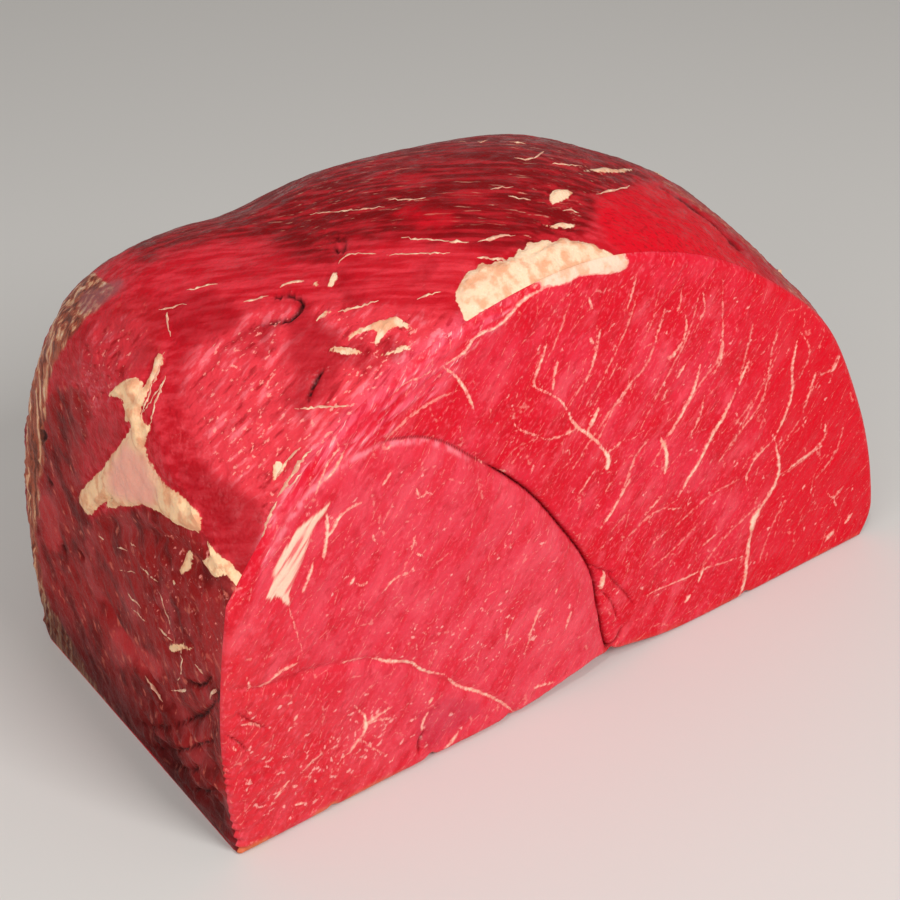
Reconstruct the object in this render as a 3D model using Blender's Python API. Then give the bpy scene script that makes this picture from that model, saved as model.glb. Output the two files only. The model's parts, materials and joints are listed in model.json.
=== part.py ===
"""A boned beef rump joint: one lump of muscle with a fresh cut face, a trimmed end and a flat base.

The joint is modelled as a butcher makes it. A rounded lump of muscle is sliced by three knife
planes: the fresh cut in front (y = 0), the trimmed end at the left (x = 0) and the board below
(z = 0). A gridded box is stretched over what is left, so that its edges lie along the cuts.
Lengths are millimetres until the last step, which turns them to metres.
"""

import math

import bmesh
import bpy
import numpy as np
from mathutils import Vector, noise

MM = 0.001

# The lump of muscle before it is sliced: a squarish ellipsoid, turned and leaning to the left
LUMP_CENTRE = (137.5, 42.5, 14.0)
LUMP_LEFT = 175.0
LUMP_RIGHT = 133.0
LUMP_DEPTH = 111.0
LUMP_ABOVE = 153.0
LUMP_BELOW = 51.0
LUMP_SQUARENESS_LEFT = 2.08
LUMP_SQUARENESS_RIGHT = 1.94
LUMP_BLEND = 90.0
LUMP_TURN = math.radians(-12.0)
LUMP_LEAN = -0.154

# Bulges and hollows of the outer muscles: where, how wide and how high
BULGES = (
    ((26.0, 98.0, 133.0), 32.0, 7.5),
    ((215.0, 70.0, 140.0), 34.0, 6.5),
    ((60.0, 60.0, 165.0), 34.0, -4.0),
    ((10.0, 30.0, 100.0), 30.0, -4.5),
    ((228.0, 0.0, 98.0), 26.0, 2.5),
    ((72.0, 99.0, 150.0), 15.0, -4.5),
    ((172.0, 85.0, 152.0), 24.0, 5.5),
)

# The trimmed end leans in by this much for each millimetre of height
END_LEAN = 0.04

# Points inside the lump and inside each cut, which the outlines are measured from
HEART = (115.0, 55.0, 45.0)
CUT_HEART = (120.0, 0.0, 45.0)
END_HEART = (40.0 * END_LEAN, 50.0, 40.0)
BASE_HEART = (120.0, 60.0, 0.0)

# Where the box's free corners lie on the outlines, as angles up or round from the horizontal
CUT_CORNER = math.radians(42)
END_CORNER = math.radians(50)
BASE_CORNER = math.radians(38)
FAR_CORNER = (110.0, 62.0, 52.0)

CELLS = (50, 20, 28)
ON_SIDE = 1e-5

# The round muscle on the cut face: its seam is a bulging arch from the left edge to the base
ARCH_CENTRE = (48.0, 5.0)
ARCH_RIGHT = 92.0
ARCH_LEFT = 55.0
ARCH_HEIGHT = 118.0
ARCH_FULLNESS_LEFT = 2.0
ARCH_FULLNESS_RIGHT = 1.6
ARCH_PROUD = 1.6
ARCH_SOFTNESS = 3.0
ARCH_MIDDLE = 0.05
SEAM_DEPTH = 1.2
SEAM_GAP_DEPTH = 3.2
SEAM_GAP_FROM = 75.0
SEAM_GAP_RUN = 8.0
SEAM_HALF_WIDTH = 5.5

# The seam below it, where the corner muscle starts
LOWER_SEAM = ((0.0, 62.0), (30.0, 56.0), (57.0, 46.0), (74.0, 28.0), (98.0, 5.0))
LOWER_SEAM_DEPTH = 1.6

# The notch in the base where the two large muscles part
NOTCH_X = 136.0
NOTCH_LIFT = 6.0
NOTCH_HALF_WIDTH = 22.0
NOTCH_HEIGHT = 30.0
NOTCH_REACH = 34.0

# The trimmed end is a little fuller at half height
END_FULLNESS = 4.0
END_FULL_HEIGHT = 92.0
END_FULL_REACH = 70.0
END_FULL_BACK = 70.0

# Creases of the trimmed end, as (y, z) points, and how deep each one is
END_CREASES = (
    (((4.0, 90.0), (20.0, 96.0), (46.0, 88.0), (70.0, 76.0)), 2.2),
    (((6.0, 48.0), (28.0, 34.0), (50.0, 32.0), (78.0, 42.0)), 2.4),
    (((6.0, 27.0), (28.0, 19.0), (54.0, 14.0)), 2.0),
)
END_CREASE_HALF_WIDTH = 4.5

# Ribbons of fat left on the outer muscles: a path, its half width and how far it stands proud
FAT_RIBBONS = (
    (((83.0, 4.0, 154.0), (97.0, 5.0, 159.0), (134.0, 2.0, 153.0)), 11.0, 2.0),
    (((26.0, 64.0, 146.0), (11.0, 47.0, 132.0), (6.0, 33.0, 120.0)), 7.0, 1.6),
    (((6.0, 33.0, 120.0), (5.0, 15.0, 106.0), (9.0, 2.0, 94.0)), 5.0, 1.6),
    (((6.0, 38.0, 114.0), (5.0, 62.0, 97.0), (4.0, 80.0, 82.0)), 7.0, 1.6),
)

# The trimmed end runs into the outer muscle with no edge: passes and strength of the smoothing
SOFTEN_PASSES = 6
SOFTEN_STRENGTH = 0.5
SOFTEN_CELLS = 3
SOFTEN_FROM = 0.1

# Strands of the outer muscles, which run across the joint
STRAND_SPACING = 17.0
STRAND_HEIGHT = 0.8
STRAND_STRETCH = 4.0
LUMPINESS = 1.1
LUMP_SPACING = 34.0

# The relief is weaker on the knife edges and dies away down to the board
EDGE_RELIEF = 0.3
ON_OUTLINE = 0.995
BASE_FADE = 6.0

MEAT_COLOUR = (0.50, 0.03, 0.04, 1.0)
MEAT_ROUGHNESS = 0.38
SHARP_ANGLE = math.radians(40)

CURVE_POINTS = 257
FARTHEST = 400.0
HALVINGS = 32


def clear_scene():
    for obj in list(bpy.data.objects):
        bpy.data.objects.remove(obj, do_unlink=True)


def lump_measure(points):
    """1 on the lump's outer surface, less inside it and more outside."""
    across, back, up = (points - LUMP_CENTRE).T
    turned_x = math.cos(LUMP_TURN) * across + math.sin(LUMP_TURN) * back
    turned_y = math.cos(LUMP_TURN) * back - math.sin(LUMP_TURN) * across
    turned_x = turned_x - LUMP_LEAN * up
    width = np.where(turned_x < 0, LUMP_LEFT, LUMP_RIGHT)
    height = np.where(up < 0, LUMP_BELOW, LUMP_ABOVE)
    parts = np.abs(turned_x / width), np.abs(turned_y / LUMP_DEPTH), np.abs(up / height)
    leftness = np.clip(0.5 - turned_x / LUMP_BLEND, 0, 1)
    power = LUMP_SQUARENESS_RIGHT + (LUMP_SQUARENESS_LEFT - LUMP_SQUARENESS_RIGHT) * leftness
    measure = sum(part**power for part in parts) ** (1 / power)
    for centre, spread, rise in BULGES:
        away = np.linalg.norm(points - np.array(centre), axis=1)
        measure = measure - rise / LUMP_ABOVE * np.exp(-((away / spread) ** 2))
    return measure


def reach(origins, directions):
    """The point where each ray leaves the lump."""
    directions = directions / np.linalg.norm(directions, axis=1, keepdims=True)
    inside = np.zeros(len(directions))
    outside = np.full(len(directions), FARTHEST)
    for _ in range(HALVINGS):
        middle = (inside + outside) / 2
        beyond = lump_measure(origins + directions * middle[:, None]) > 1
        outside = np.where(beyond, middle, outside)
        inside = np.where(beyond, inside, middle)
    return origins + directions * inside[:, None]


def reach_one(origin, direction):
    return reach(np.array([origin], float), np.array([direction], float))[0]


def evenly(points):
    """The same curve, with its points spread evenly along it."""
    steps = np.linalg.norm(np.diff(points, axis=0), axis=1)
    run = np.concatenate([[0.0], np.cumsum(steps)])
    even = np.linspace(0, run[-1], CURVE_POINTS)
    return np.stack([np.interp(even, run, axis) for axis in points.T], axis=1)


def straight(start, end):
    share = np.linspace(0, 1, CURVE_POINTS)[:, None]
    return np.array(start) * (1 - share) + np.array(end) * share


def outline(middle, start, end):
    """The lump's outline between two points of it, swept round a middle that lies in the same plane."""
    middle = np.array(middle, float)
    first, last = np.array(start) - middle, np.array(end) - middle
    first, last = first / np.linalg.norm(first), last / np.linalg.norm(last)
    angle = math.acos(float(first @ last))
    share = np.linspace(0, 1, CURVE_POINTS)[:, None]
    sweep = np.sin((1 - share) * angle) * first + np.sin(share * angle) * last
    curve = reach(np.repeat([middle], CURVE_POINTS, axis=0), sweep)
    curve[0], curve[-1] = start, end
    return evenly(curve)


def edge_curves():
    """The twelve edges of the box, named by the two sides that meet there."""
    near_left = np.array([0.0, 0.0, 0.0])
    near_right = reach_one((BASE_HEART[0], 0, 0), (1, 0, 0))
    left_top = reach_one(near_left, (END_LEAN, 0, 1))
    left_back = reach_one((0.0, 10.0, 0.0), (0, 1, 0))
    cut_corner = reach_one(CUT_HEART, (math.cos(CUT_CORNER), 0, math.sin(CUT_CORNER)))
    end_rise = math.sin(END_CORNER)
    end_corner = reach_one(END_HEART, (END_LEAN * end_rise, math.cos(END_CORNER), end_rise))
    base_corner = reach_one(BASE_HEART, (math.cos(BASE_CORNER), math.sin(BASE_CORNER), 0))
    far_corner = reach_one(HEART, FAR_CORNER)
    return {
        "front base": straight(near_left, near_right),
        "front left": straight(near_left, left_top),
        "front top": outline(CUT_HEART, left_top, cut_corner),
        "front right": outline(CUT_HEART, near_right, cut_corner),
        "left base": straight(near_left, left_back),
        "left back": outline(END_HEART, left_back, end_corner),
        "left top": outline(END_HEART, left_top, end_corner),
        "right base": outline(BASE_HEART, near_right, base_corner),
        "back base": outline(BASE_HEART, left_back, base_corner),
        "right back": outline(HEART, base_corner, far_corner),
        "right top": outline(HEART, cut_corner, far_corner),
        "back top": outline(HEART, end_corner, far_corner),
    }


def along(curve, share):
    at = share * (CURVE_POINTS - 1)
    index = np.arange(CURVE_POINTS)
    return np.stack([np.interp(at, index, axis) for axis in curve.T], axis=1)


def patch(low, high, start, end, s, t):
    """A surface stretched between four edges: low and high run with s, start and end with t."""
    s1, t1 = s[:, None], t[:, None]
    between = (1 - t1) * along(low, s) + t1 * along(high, s)
    between += (1 - s1) * along(start, t) + s1 * along(end, t)
    corners = (1 - s1) * (1 - t1) * low[0] + s1 * (1 - t1) * low[-1]
    corners += (1 - s1) * t1 * high[0] + s1 * t1 * high[-1]
    return between - corners


# Each side of the box: its axis, which end of it, the two other axes and the four edges
SIDES = (
    (1, 0, (0, 2), ("front base", "front top", "front left", "front right")),
    (0, 0, (1, 2), ("left base", "left top", "front left", "left back")),
    (2, 0, (0, 1), ("front base", "back base", "left base", "right base")),
    (0, 1, (1, 2), ("right base", "right top", "front right", "right back")),
    (1, 1, (0, 2), ("back base", "back top", "left back", "right back")),
    (2, 1, (0, 1), ("front top", "back top", "left top", "right top")),
)


def stretch_over_joint(box_points):
    """Moves points of the unit box onto the sliced lump."""
    edges = edge_curves()
    placed = np.zeros_like(box_points)
    for axis, end, (across, up), names in SIDES:
        on_side = np.abs(box_points[:, axis] - end) < ON_SIDE
        s, t = box_points[on_side, across], box_points[on_side, up]
        guide = patch(*(edges[name] for name in names), s, t)
        if end == 1:
            heart = np.repeat([HEART], len(guide), axis=0)
            on_rim = (s < ON_SIDE) | (t < ON_SIDE)
            guide = np.where(on_rim[:, None], guide, reach(heart, guide - heart))
        placed[on_side] = guide
    return placed


def lift_notch(points):
    """Arches the base up where the two large muscles part, most at the cut face."""
    across, back, up = points.T
    lift = NOTCH_LIFT * np.exp(-(((across - NOTCH_X) / NOTCH_HALF_WIDTH) ** 2))
    lift = lift * np.clip(1 - back / NOTCH_REACH, 0, 1) ** 2
    share = np.clip(1 - up / NOTCH_HEIGHT, 0, 1)
    return np.stack([across, back, up + lift * share], axis=1)


def fill_end(points):
    """Pushes the middle height of the trimmed end outwards."""
    across, back, up = points.T
    rise = np.sin(np.pi * np.clip(up / END_FULL_HEIGHT, 0, 1))
    fade = np.clip(1 - across / END_FULL_REACH, 0, 1) ** 2 * np.clip(1 - back / END_FULL_BACK, 0, 1)
    push = END_FULLNESS * rise * fade
    return np.stack([across - push, back, up], axis=1)


def distance_to_path(points, path):
    """Distance from each point to a line through a few points."""
    nearest = np.full(len(points), np.inf)
    for start, end in zip(path, path[1:]):
        start, run = np.array(start), np.array(end) - np.array(start)
        share = np.clip((points - start) @ run / (run @ run), 0, 1)
        gap = np.linalg.norm(points - start - share[:, None] * run, axis=1)
        nearest = np.minimum(nearest, gap)
    return nearest


def arch_distance(across, up):
    """Signed distance to the round muscle's seam, below 0 inside the muscle."""
    u, v = across - ARCH_CENTRE[0], up - ARCH_CENTRE[1]
    side = np.where(u < 0, ARCH_LEFT, ARCH_RIGHT)
    power = np.where(u < 0, ARCH_FULLNESS_LEFT, ARCH_FULLNESS_RIGHT)
    measure = (np.abs(u / side) ** power + np.abs(v / ARCH_HEIGHT) ** power) ** (1 / power)
    return (measure - 1) / np.maximum(measure, ARCH_MIDDLE) * np.hypot(u, v)


def groove(distance, half_width, depth):
    return -depth * np.exp(-((distance / half_width) ** 2))


def cut_face_relief(points):
    """The cut face bulges on each muscle and dips along the seams."""
    across, _, up = points.T
    from_arch = arch_distance(across, up)
    inside = 1 / (1 + np.exp(np.clip(from_arch / ARCH_SOFTNESS, -30, 30)))
    open_seam = 1 / (1 + np.exp((SEAM_GAP_FROM - across) / SEAM_GAP_RUN))
    depth = SEAM_DEPTH + (SEAM_GAP_DEPTH - SEAM_DEPTH) * open_seam
    relief = ARCH_PROUD * inside + groove(from_arch, SEAM_HALF_WIDTH, depth)
    from_lower = distance_to_path(points[:, [0, 2]], LOWER_SEAM)
    return relief + groove(from_lower, SEAM_HALF_WIDTH, LOWER_SEAM_DEPTH)


def end_face_relief(points):
    relief = np.zeros(len(points))
    for path, depth in END_CREASES:
        distance = distance_to_path(points[:, [1, 2]], path)
        relief += groove(distance, END_CREASE_HALF_WIDTH, depth)
    return relief


def fat_relief(points):
    relief = np.zeros(len(points))
    for path, half_width, height in FAT_RIBBONS:
        share = distance_to_path(points, path) / half_width
        relief = np.maximum(relief, height * np.clip(1.5 - share, 0, 1))
    return relief


def outer_relief(points):
    """Strands and lumps of the outer muscles."""
    relief = np.zeros(len(points))
    for index, point in enumerate(points):
        place = Vector(point)
        stretched = Vector((place.x / STRAND_STRETCH, place.y, place.z)) / STRAND_SPACING
        relief[index] += STRAND_HEIGHT * noise.noise(stretched)
        relief[index] += LUMPINESS * noise.noise(place / LUMP_SPACING)
    return relief


def relief_of(points, sides):
    """How far each point moves along its normal. It dies away at the knife edges and the base."""
    front, left, base = sides
    outer = ~(front | left | base)
    relief = np.zeros(len(points))
    relief[front] = cut_face_relief(points[front])
    relief[left] = end_face_relief(points[left])
    relief[outer] = outer_relief(points[outer])
    relief += fat_relief(points) * ~front
    relief[base] = 0
    edge = front & (left | (lump_measure(points) > ON_OUTLINE))
    relief[edge] *= EDGE_RELIEF
    return relief * np.clip(points[:, 2] / BASE_FADE, 0, 1)


def box_grid():
    """A unit box, cut into cells along each axis."""
    grid = bmesh.new()
    bmesh.ops.create_cube(grid, size=1.0)
    bmesh.ops.translate(grid, vec=(0.5, 0.5, 0.5), verts=grid.verts)
    for axis, cells in enumerate(CELLS):
        along_axis = [e for e in grid.edges if abs((e.verts[1].co - e.verts[0].co)[axis]) > 0.5]
        bmesh.ops.subdivide_edges(grid, edges=along_axis, cuts=cells - 1, use_grid_fill=True)
    return grid


def soften_end(grid, box_points):
    """Rounds the top edge of the trimmed end, which in the real joint is no knife edge."""
    near_side = box_points[:, 0] < SOFTEN_CELLS / CELLS[0]
    near_top = box_points[:, 2] > 1 - SOFTEN_CELLS / CELLS[2]
    chosen = near_side & near_top & (box_points[:, 1] > SOFTEN_FROM)
    verts = [vertex for vertex, pick in zip(grid.verts, chosen) if pick]
    for _ in range(SOFTEN_PASSES):
        bmesh.ops.smooth_vert(
            grid, verts=verts, factor=SOFTEN_STRENGTH, use_axis_x=True, use_axis_y=True, use_axis_z=True
        )


def meat_material():
    material = bpy.data.materials.new("raw beef")
    material.use_nodes = True
    surface = material.node_tree.nodes["Principled BSDF"]
    surface.inputs["Base Color"].default_value = MEAT_COLOUR
    surface.inputs["Roughness"].default_value = MEAT_ROUGHNESS
    material.diffuse_color = MEAT_COLOUR
    return material


def build_rump():
    grid = box_grid()
    box_points = np.array([v.co for v in grid.verts])
    left, front, base = (box_points < ON_SIDE).T
    for vertex, point in zip(grid.verts, fill_end(lift_notch(stretch_over_joint(box_points)))):
        vertex.co = point
    soften_end(grid, box_points)
    points = np.array([v.co for v in grid.verts])
    bmesh.ops.recalc_face_normals(grid, faces=grid.faces)
    grid.normal_update()
    normals = np.array([v.normal for v in grid.verts])
    points = points + normals * relief_of(points, (front, left, base))[:, None]

    low, high = points.min(axis=0), points.max(axis=0)
    origin = np.array([(low[0] + high[0]) / 2, (low[1] + high[1]) / 2, 0.0])
    for vertex, point in zip(grid.verts, points - origin):
        vertex.co = point * MM
    bmesh.ops.triangulate(grid, faces=grid.faces, quad_method="SHORT_EDGE")

    mesh = bpy.data.meshes.new("rump")
    grid.to_mesh(mesh)
    grid.free()
    mesh.shade_smooth()
    mesh.set_sharp_from_angle(angle=SHARP_ANGLE)
    mesh.materials.append(meat_material())
    rump = bpy.data.objects.new("rump", mesh)
    bpy.context.scene.collection.objects.link(rump)
    print("origin shift in mm", origin, "size in mm", high - low)


def main():
    clear_scene()
    build_rump()


main()
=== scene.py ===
# %% [markdown]
# # A boned rump of beef
#
# A rump joint is a lump of several muscles, boned out and squared up with a knife. This file
# dresses the plain solid of one: it builds the flesh again with fine relief, paints fat, seams
# and membrane on it with attributes, and gives it moist materials made of nodes.

# %% Load the solid as a fixed frame
import json
import math

import bmesh
import bpy
import numpy as np
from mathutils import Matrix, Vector, noise
from mathutils.bvhtree import BVHTree
from mathutils.kdtree import KDTree

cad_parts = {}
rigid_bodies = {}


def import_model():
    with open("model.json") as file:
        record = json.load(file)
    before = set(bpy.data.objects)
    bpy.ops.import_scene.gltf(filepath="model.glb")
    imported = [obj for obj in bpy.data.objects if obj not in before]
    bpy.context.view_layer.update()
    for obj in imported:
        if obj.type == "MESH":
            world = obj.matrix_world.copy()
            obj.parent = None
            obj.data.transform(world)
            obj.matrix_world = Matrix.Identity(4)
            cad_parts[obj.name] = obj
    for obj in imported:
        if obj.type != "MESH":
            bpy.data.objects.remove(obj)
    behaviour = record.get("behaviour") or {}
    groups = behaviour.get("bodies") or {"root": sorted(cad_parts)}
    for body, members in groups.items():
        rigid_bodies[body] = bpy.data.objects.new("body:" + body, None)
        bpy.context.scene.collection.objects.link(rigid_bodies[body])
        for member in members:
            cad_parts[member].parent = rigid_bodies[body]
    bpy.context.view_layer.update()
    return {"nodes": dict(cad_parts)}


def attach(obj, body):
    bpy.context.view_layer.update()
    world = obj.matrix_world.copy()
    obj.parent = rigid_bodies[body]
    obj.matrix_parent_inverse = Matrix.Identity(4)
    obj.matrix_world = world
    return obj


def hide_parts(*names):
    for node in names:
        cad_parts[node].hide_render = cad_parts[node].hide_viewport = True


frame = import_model()
MM = 0.001

# %% [markdown]
# ## Where things are
#
# The joint is measured in millimetres from the near left corner of its cut face. X runs right
# along the cut, Y goes into the joint and Z is up. That corner is found on the solid: it is the
# point of the base that is furthest to the front left.

# %% Find the corner that everything is measured from
BASE_HEIGHT = 0.01
solid_points = np.array([v.co for v in frame["nodes"]["rump"].data.vertices]) / MM
base_points = solid_points[solid_points[:, 2] < BASE_HEIGHT]
CORNER = base_points[np.argmin(base_points[:, 0] + base_points[:, 1])]
print("corner of the cut face in mm:", CORNER.round(2))

# %% [markdown]
# ## The camera
#
# The camera stands where the photograph was taken from, worked out from the joint's corners. The
# same numbers tell where any point of the joint falls in the photograph, which is how the veins
# and fat patches below are put in place: each one was read off the photograph in pixels.

# %% Camera, and the way from the joint to the photograph and back
PHOTO_PIXELS = 900
VIEW_ANGLE = math.radians(28.0)
CAMERA_TURN = math.radians(36.6337)
CAMERA_DIP = math.radians(34.0)
CAMERA_PLACE = np.array([-169.628, -329.564, 388.158])

ahead = np.array(
    [
        math.sin(CAMERA_TURN) * math.cos(CAMERA_DIP),
        math.cos(CAMERA_TURN) * math.cos(CAMERA_DIP),
        -math.sin(CAMERA_DIP),
    ]
)
rightward = np.array([math.cos(CAMERA_TURN), -math.sin(CAMERA_TURN), 0.0])
upward = np.cross(rightward, ahead)
PIXEL_REACH = PHOTO_PIXELS / 2 / math.tan(VIEW_ANGLE / 2)
PIXELS_PER_MM = 2.9

camera_data = bpy.data.cameras.new("camera")
camera_data.angle = VIEW_ANGLE
camera = bpy.data.objects.new("camera", camera_data)
camera.location = (CAMERA_PLACE + CORNER) * MM
camera.rotation_euler = (math.pi / 2 - CAMERA_DIP, 0, -CAMERA_TURN)
bpy.context.scene.collection.objects.link(camera)
bpy.context.scene.camera = camera


def in_photo(points):
    """The pixel of the photograph that each point falls on."""
    away = points - CAMERA_PLACE
    depth = away @ ahead
    across = PHOTO_PIXELS / 2 + PIXEL_REACH * (away @ rightward) / depth
    down = PHOTO_PIXELS / 2 - PIXEL_REACH * (away @ upward) / depth
    return np.stack([across, down], axis=1)


def sight(pixel):
    """The direction in which the camera sees a pixel of the photograph."""
    across, up = pixel[0] - PHOTO_PIXELS / 2, PHOTO_PIXELS / 2 - pixel[1]
    return ahead + (rightward * across + upward * up) / PIXEL_REACH


def on_cut(pixel):
    """The x and z in mm of the point of the cut face that falls on a pixel."""
    place = CAMERA_PLACE - sight(pixel) * CAMERA_PLACE[1] / sight(pixel)[1]
    return place[0], place[2]


print("near corner falls on pixel", in_photo(np.zeros((1, 3))).round(1))

# %% [markdown]
# ## The lump of muscle
#
# Under the trimming, the joint is a rounded lump. It could be sculpted by hand, but a squarish
# ellipsoid with a few bulges gives the same form from a dozen numbers, and its surface can be
# found in any direction by halving. Knife planes cut it at the front, at the left and below.

# %% The lump, and where a ray leaves it
LUMP_CENTRE = (137.5, 42.5, 14.0)
LUMP_LEFT = 175.0
LUMP_RIGHT = 133.0
LUMP_DEPTH = 111.0
LUMP_ABOVE = 153.0
LUMP_BELOW = 51.0
LUMP_SQUARENESS_LEFT = 2.08
LUMP_SQUARENESS_RIGHT = 1.94
LUMP_BLEND = 90.0
LUMP_TURN = math.radians(-12.0)
LUMP_LEAN = -0.154
BULGES = (
    ((26.0, 98.0, 133.0), 32.0, 7.5),
    ((215.0, 70.0, 140.0), 34.0, 6.5),
    ((60.0, 60.0, 165.0), 34.0, -4.0),
    ((10.0, 30.0, 100.0), 30.0, -4.5),
    ((228.0, 0.0, 98.0), 26.0, 2.5),
    ((72.0, 99.0, 150.0), 15.0, -4.5),
    ((172.0, 85.0, 152.0), 24.0, 5.5),
)
FARTHEST = 400.0
HALVINGS = 32


def lump_measure(points):
    """1 on the lump's surface, less inside it and more outside."""
    across, back, up = (points - LUMP_CENTRE).T
    turned_x = math.cos(LUMP_TURN) * across + math.sin(LUMP_TURN) * back
    turned_y = math.cos(LUMP_TURN) * back - math.sin(LUMP_TURN) * across
    turned_x = turned_x - LUMP_LEAN * up
    width = np.where(turned_x < 0, LUMP_LEFT, LUMP_RIGHT)
    height = np.where(up < 0, LUMP_BELOW, LUMP_ABOVE)
    parts = np.abs(turned_x / width), np.abs(turned_y / LUMP_DEPTH), np.abs(up / height)
    leftness = np.clip(0.5 - turned_x / LUMP_BLEND, 0, 1)
    power = LUMP_SQUARENESS_RIGHT + (LUMP_SQUARENESS_LEFT - LUMP_SQUARENESS_RIGHT) * leftness
    measure = sum(part**power for part in parts) ** (1 / power)
    for centre, spread, rise in BULGES:
        away = np.linalg.norm(points - np.array(centre), axis=1)
        measure = measure - rise / LUMP_ABOVE * np.exp(-((away / spread) ** 2))
    return measure


def reach(origins, directions):
    """The point where each ray leaves the lump."""
    directions = directions / np.linalg.norm(directions, axis=1, keepdims=True)
    inside = np.zeros(len(directions))
    outside = np.full(len(directions), FARTHEST)
    for _ in range(HALVINGS):
        middle = (inside + outside) / 2
        beyond = lump_measure(origins + directions * middle[:, None]) > 1
        outside = np.where(beyond, middle, outside)
        inside = np.where(beyond, inside, middle)
    return origins + directions * inside[:, None]


def reach_one(origin, direction):
    return reach(np.array([origin], float), np.array([direction], float))[0]


print("the lump's top is at z", reach_one((130, 40, 40), (0, 0, 1)).round(1))

# %% [markdown]
# ## The knife edges
#
# Where the knife planes meet the lump there are crisp outlines. The mesh is a gridded box
# stretched over the joint, so its twelve edges are laid along those outlines first. Each side
# is then filled in between its four edges, and the outer sides are pushed out to the lump.

# %% Outlines of the cuts, as the twelve edges of a box
END_LEAN = 0.04
HEART = (115.0, 55.0, 45.0)
CUT_HEART_X = 120.0
CUT_HEART_Z = 45.0
END_HEART = (40.0 * END_LEAN, 50.0, 40.0)
END_FOOT = (0.0, 10.0, 0.0)
BASE_HEART = (120.0, 60.0, 0.0)
CUT_CORNER = math.radians(42)
END_CORNER = math.radians(50)
BASE_CORNER = math.radians(38)
FAR_CORNER = (110.0, 62.0, 52.0)
CURVE_POINTS = 513
ON_SIDE = 1e-5


def evenly(points):
    """The same curve, with its points spread evenly along it."""
    steps = np.linalg.norm(np.diff(points, axis=0), axis=1)
    run = np.concatenate([[0.0], np.cumsum(steps)])
    even = np.linspace(0, run[-1], CURVE_POINTS)
    return np.stack([np.interp(even, run, axis) for axis in points.T], axis=1)


def straight(start, end):
    share = np.linspace(0, 1, CURVE_POINTS)[:, None]
    return np.array(start) * (1 - share) + np.array(end) * share


def outline(middle, start, end):
    """The lump's outline between two points of it, swept round a middle in the same plane."""
    middle = np.array(middle, float)
    first, last = np.array(start) - middle, np.array(end) - middle
    first, last = first / np.linalg.norm(first), last / np.linalg.norm(last)
    angle = math.acos(float(first @ last))
    share = np.linspace(0, 1, CURVE_POINTS)[:, None]
    sweep = np.sin((1 - share) * angle) * first + np.sin(share * angle) * last
    curve = reach(np.repeat([middle], CURVE_POINTS, axis=0), sweep)
    curve[0], curve[-1] = start, end
    return evenly(curve)


def edge_curves(depth):
    """The twelve edges, with the front of the box at a depth behind the cut face."""
    cut_heart = (CUT_HEART_X, depth, CUT_HEART_Z)
    near_left = np.array([0.0, depth, 0.0])
    near_right = reach_one((BASE_HEART[0], depth, 0), (1, 0, 0))
    left_top = reach_one(near_left, (END_LEAN, 0, 1))
    left_back = reach_one(END_FOOT, (0, 1, 0))
    cut_corner = reach_one(cut_heart, (math.cos(CUT_CORNER), 0, math.sin(CUT_CORNER)))
    end_rise = math.sin(END_CORNER)
    end_corner = reach_one(END_HEART, (END_LEAN * end_rise, math.cos(END_CORNER), end_rise))
    base_corner = reach_one(BASE_HEART, (math.cos(BASE_CORNER), math.sin(BASE_CORNER), 0))
    far_corner = reach_one(HEART, FAR_CORNER)
    return {
        "front base": straight(near_left, near_right),
        "front left": straight(near_left, left_top),
        "front top": outline(cut_heart, left_top, cut_corner),
        "front right": outline(cut_heart, near_right, cut_corner),
        "left base": straight(near_left, left_back),
        "left back": outline(END_HEART, left_back, end_corner),
        "left top": outline(END_HEART, left_top, end_corner),
        "right base": outline(BASE_HEART, near_right, base_corner),
        "back base": outline(BASE_HEART, left_back, base_corner),
        "right back": outline(HEART, base_corner, far_corner),
        "right top": outline(HEART, cut_corner, far_corner),
        "back top": outline(HEART, end_corner, far_corner),
    }


cut_edges = edge_curves(0.0)
print("cut face is", cut_edges["front base"][-1][0].round(1), "mm wide at its base")

# %% Fill a side between its four edges
# Each side of the box: its axis, which end of it, the two other axes and the four edges
SIDES = (
    (1, 0, (0, 2), ("front base", "front top", "front left", "front right")),
    (0, 0, (1, 2), ("left base", "left top", "front left", "left back")),
    (2, 0, (0, 1), ("front base", "back base", "left base", "right base")),
    (0, 1, (1, 2), ("right base", "right top", "front right", "right back")),
    (1, 1, (0, 2), ("back base", "back top", "left back", "right back")),
    (2, 1, (0, 1), ("front top", "back top", "left top", "right top")),
)


def along(curve, share):
    at = share * (CURVE_POINTS - 1)
    index = np.arange(CURVE_POINTS)
    return np.stack([np.interp(at, index, axis) for axis in curve.T], axis=1)


def patch(low, high, start, end, s, t):
    """A surface stretched between four edges: low and high run with s, start and end with t."""
    s1, t1 = s[:, None], t[:, None]
    between = (1 - t1) * along(low, s) + t1 * along(high, s)
    between += (1 - s1) * along(start, t) + s1 * along(end, t)
    corners = (1 - s1) * (1 - t1) * low[0] + s1 * (1 - t1) * low[-1]
    corners += (1 - s1) * t1 * high[0] + s1 * t1 * high[-1]
    return between - corners


def stretch_over_joint(box_points, edges):
    """Moves points of the unit box onto the sliced lump."""
    placed = np.zeros_like(box_points)
    for axis, end, (across, up), names in SIDES:
        on_side = np.abs(box_points[:, axis] - end) < ON_SIDE
        s, t = box_points[on_side, across], box_points[on_side, up]
        guide = patch(*(edges[name] for name in names), s, t)
        if end == 1:
            heart = np.repeat([HEART], len(guide), axis=0)
            on_rim = (s < ON_SIDE) | (t < ON_SIDE)
            guide = np.where(on_rim[:, None], guide, reach(heart, guide - heart))
        placed[on_side] = guide
    return placed


# %% [markdown]
# ## What the knife left
#
# A hand-cut joint isn't exact. The base arches up where two muscles part, the end swells, the
# knife left a row of small steps up the near corner, and the lower edge has nicks. These move
# every piece alike, so they are written as one function of place.

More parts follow.
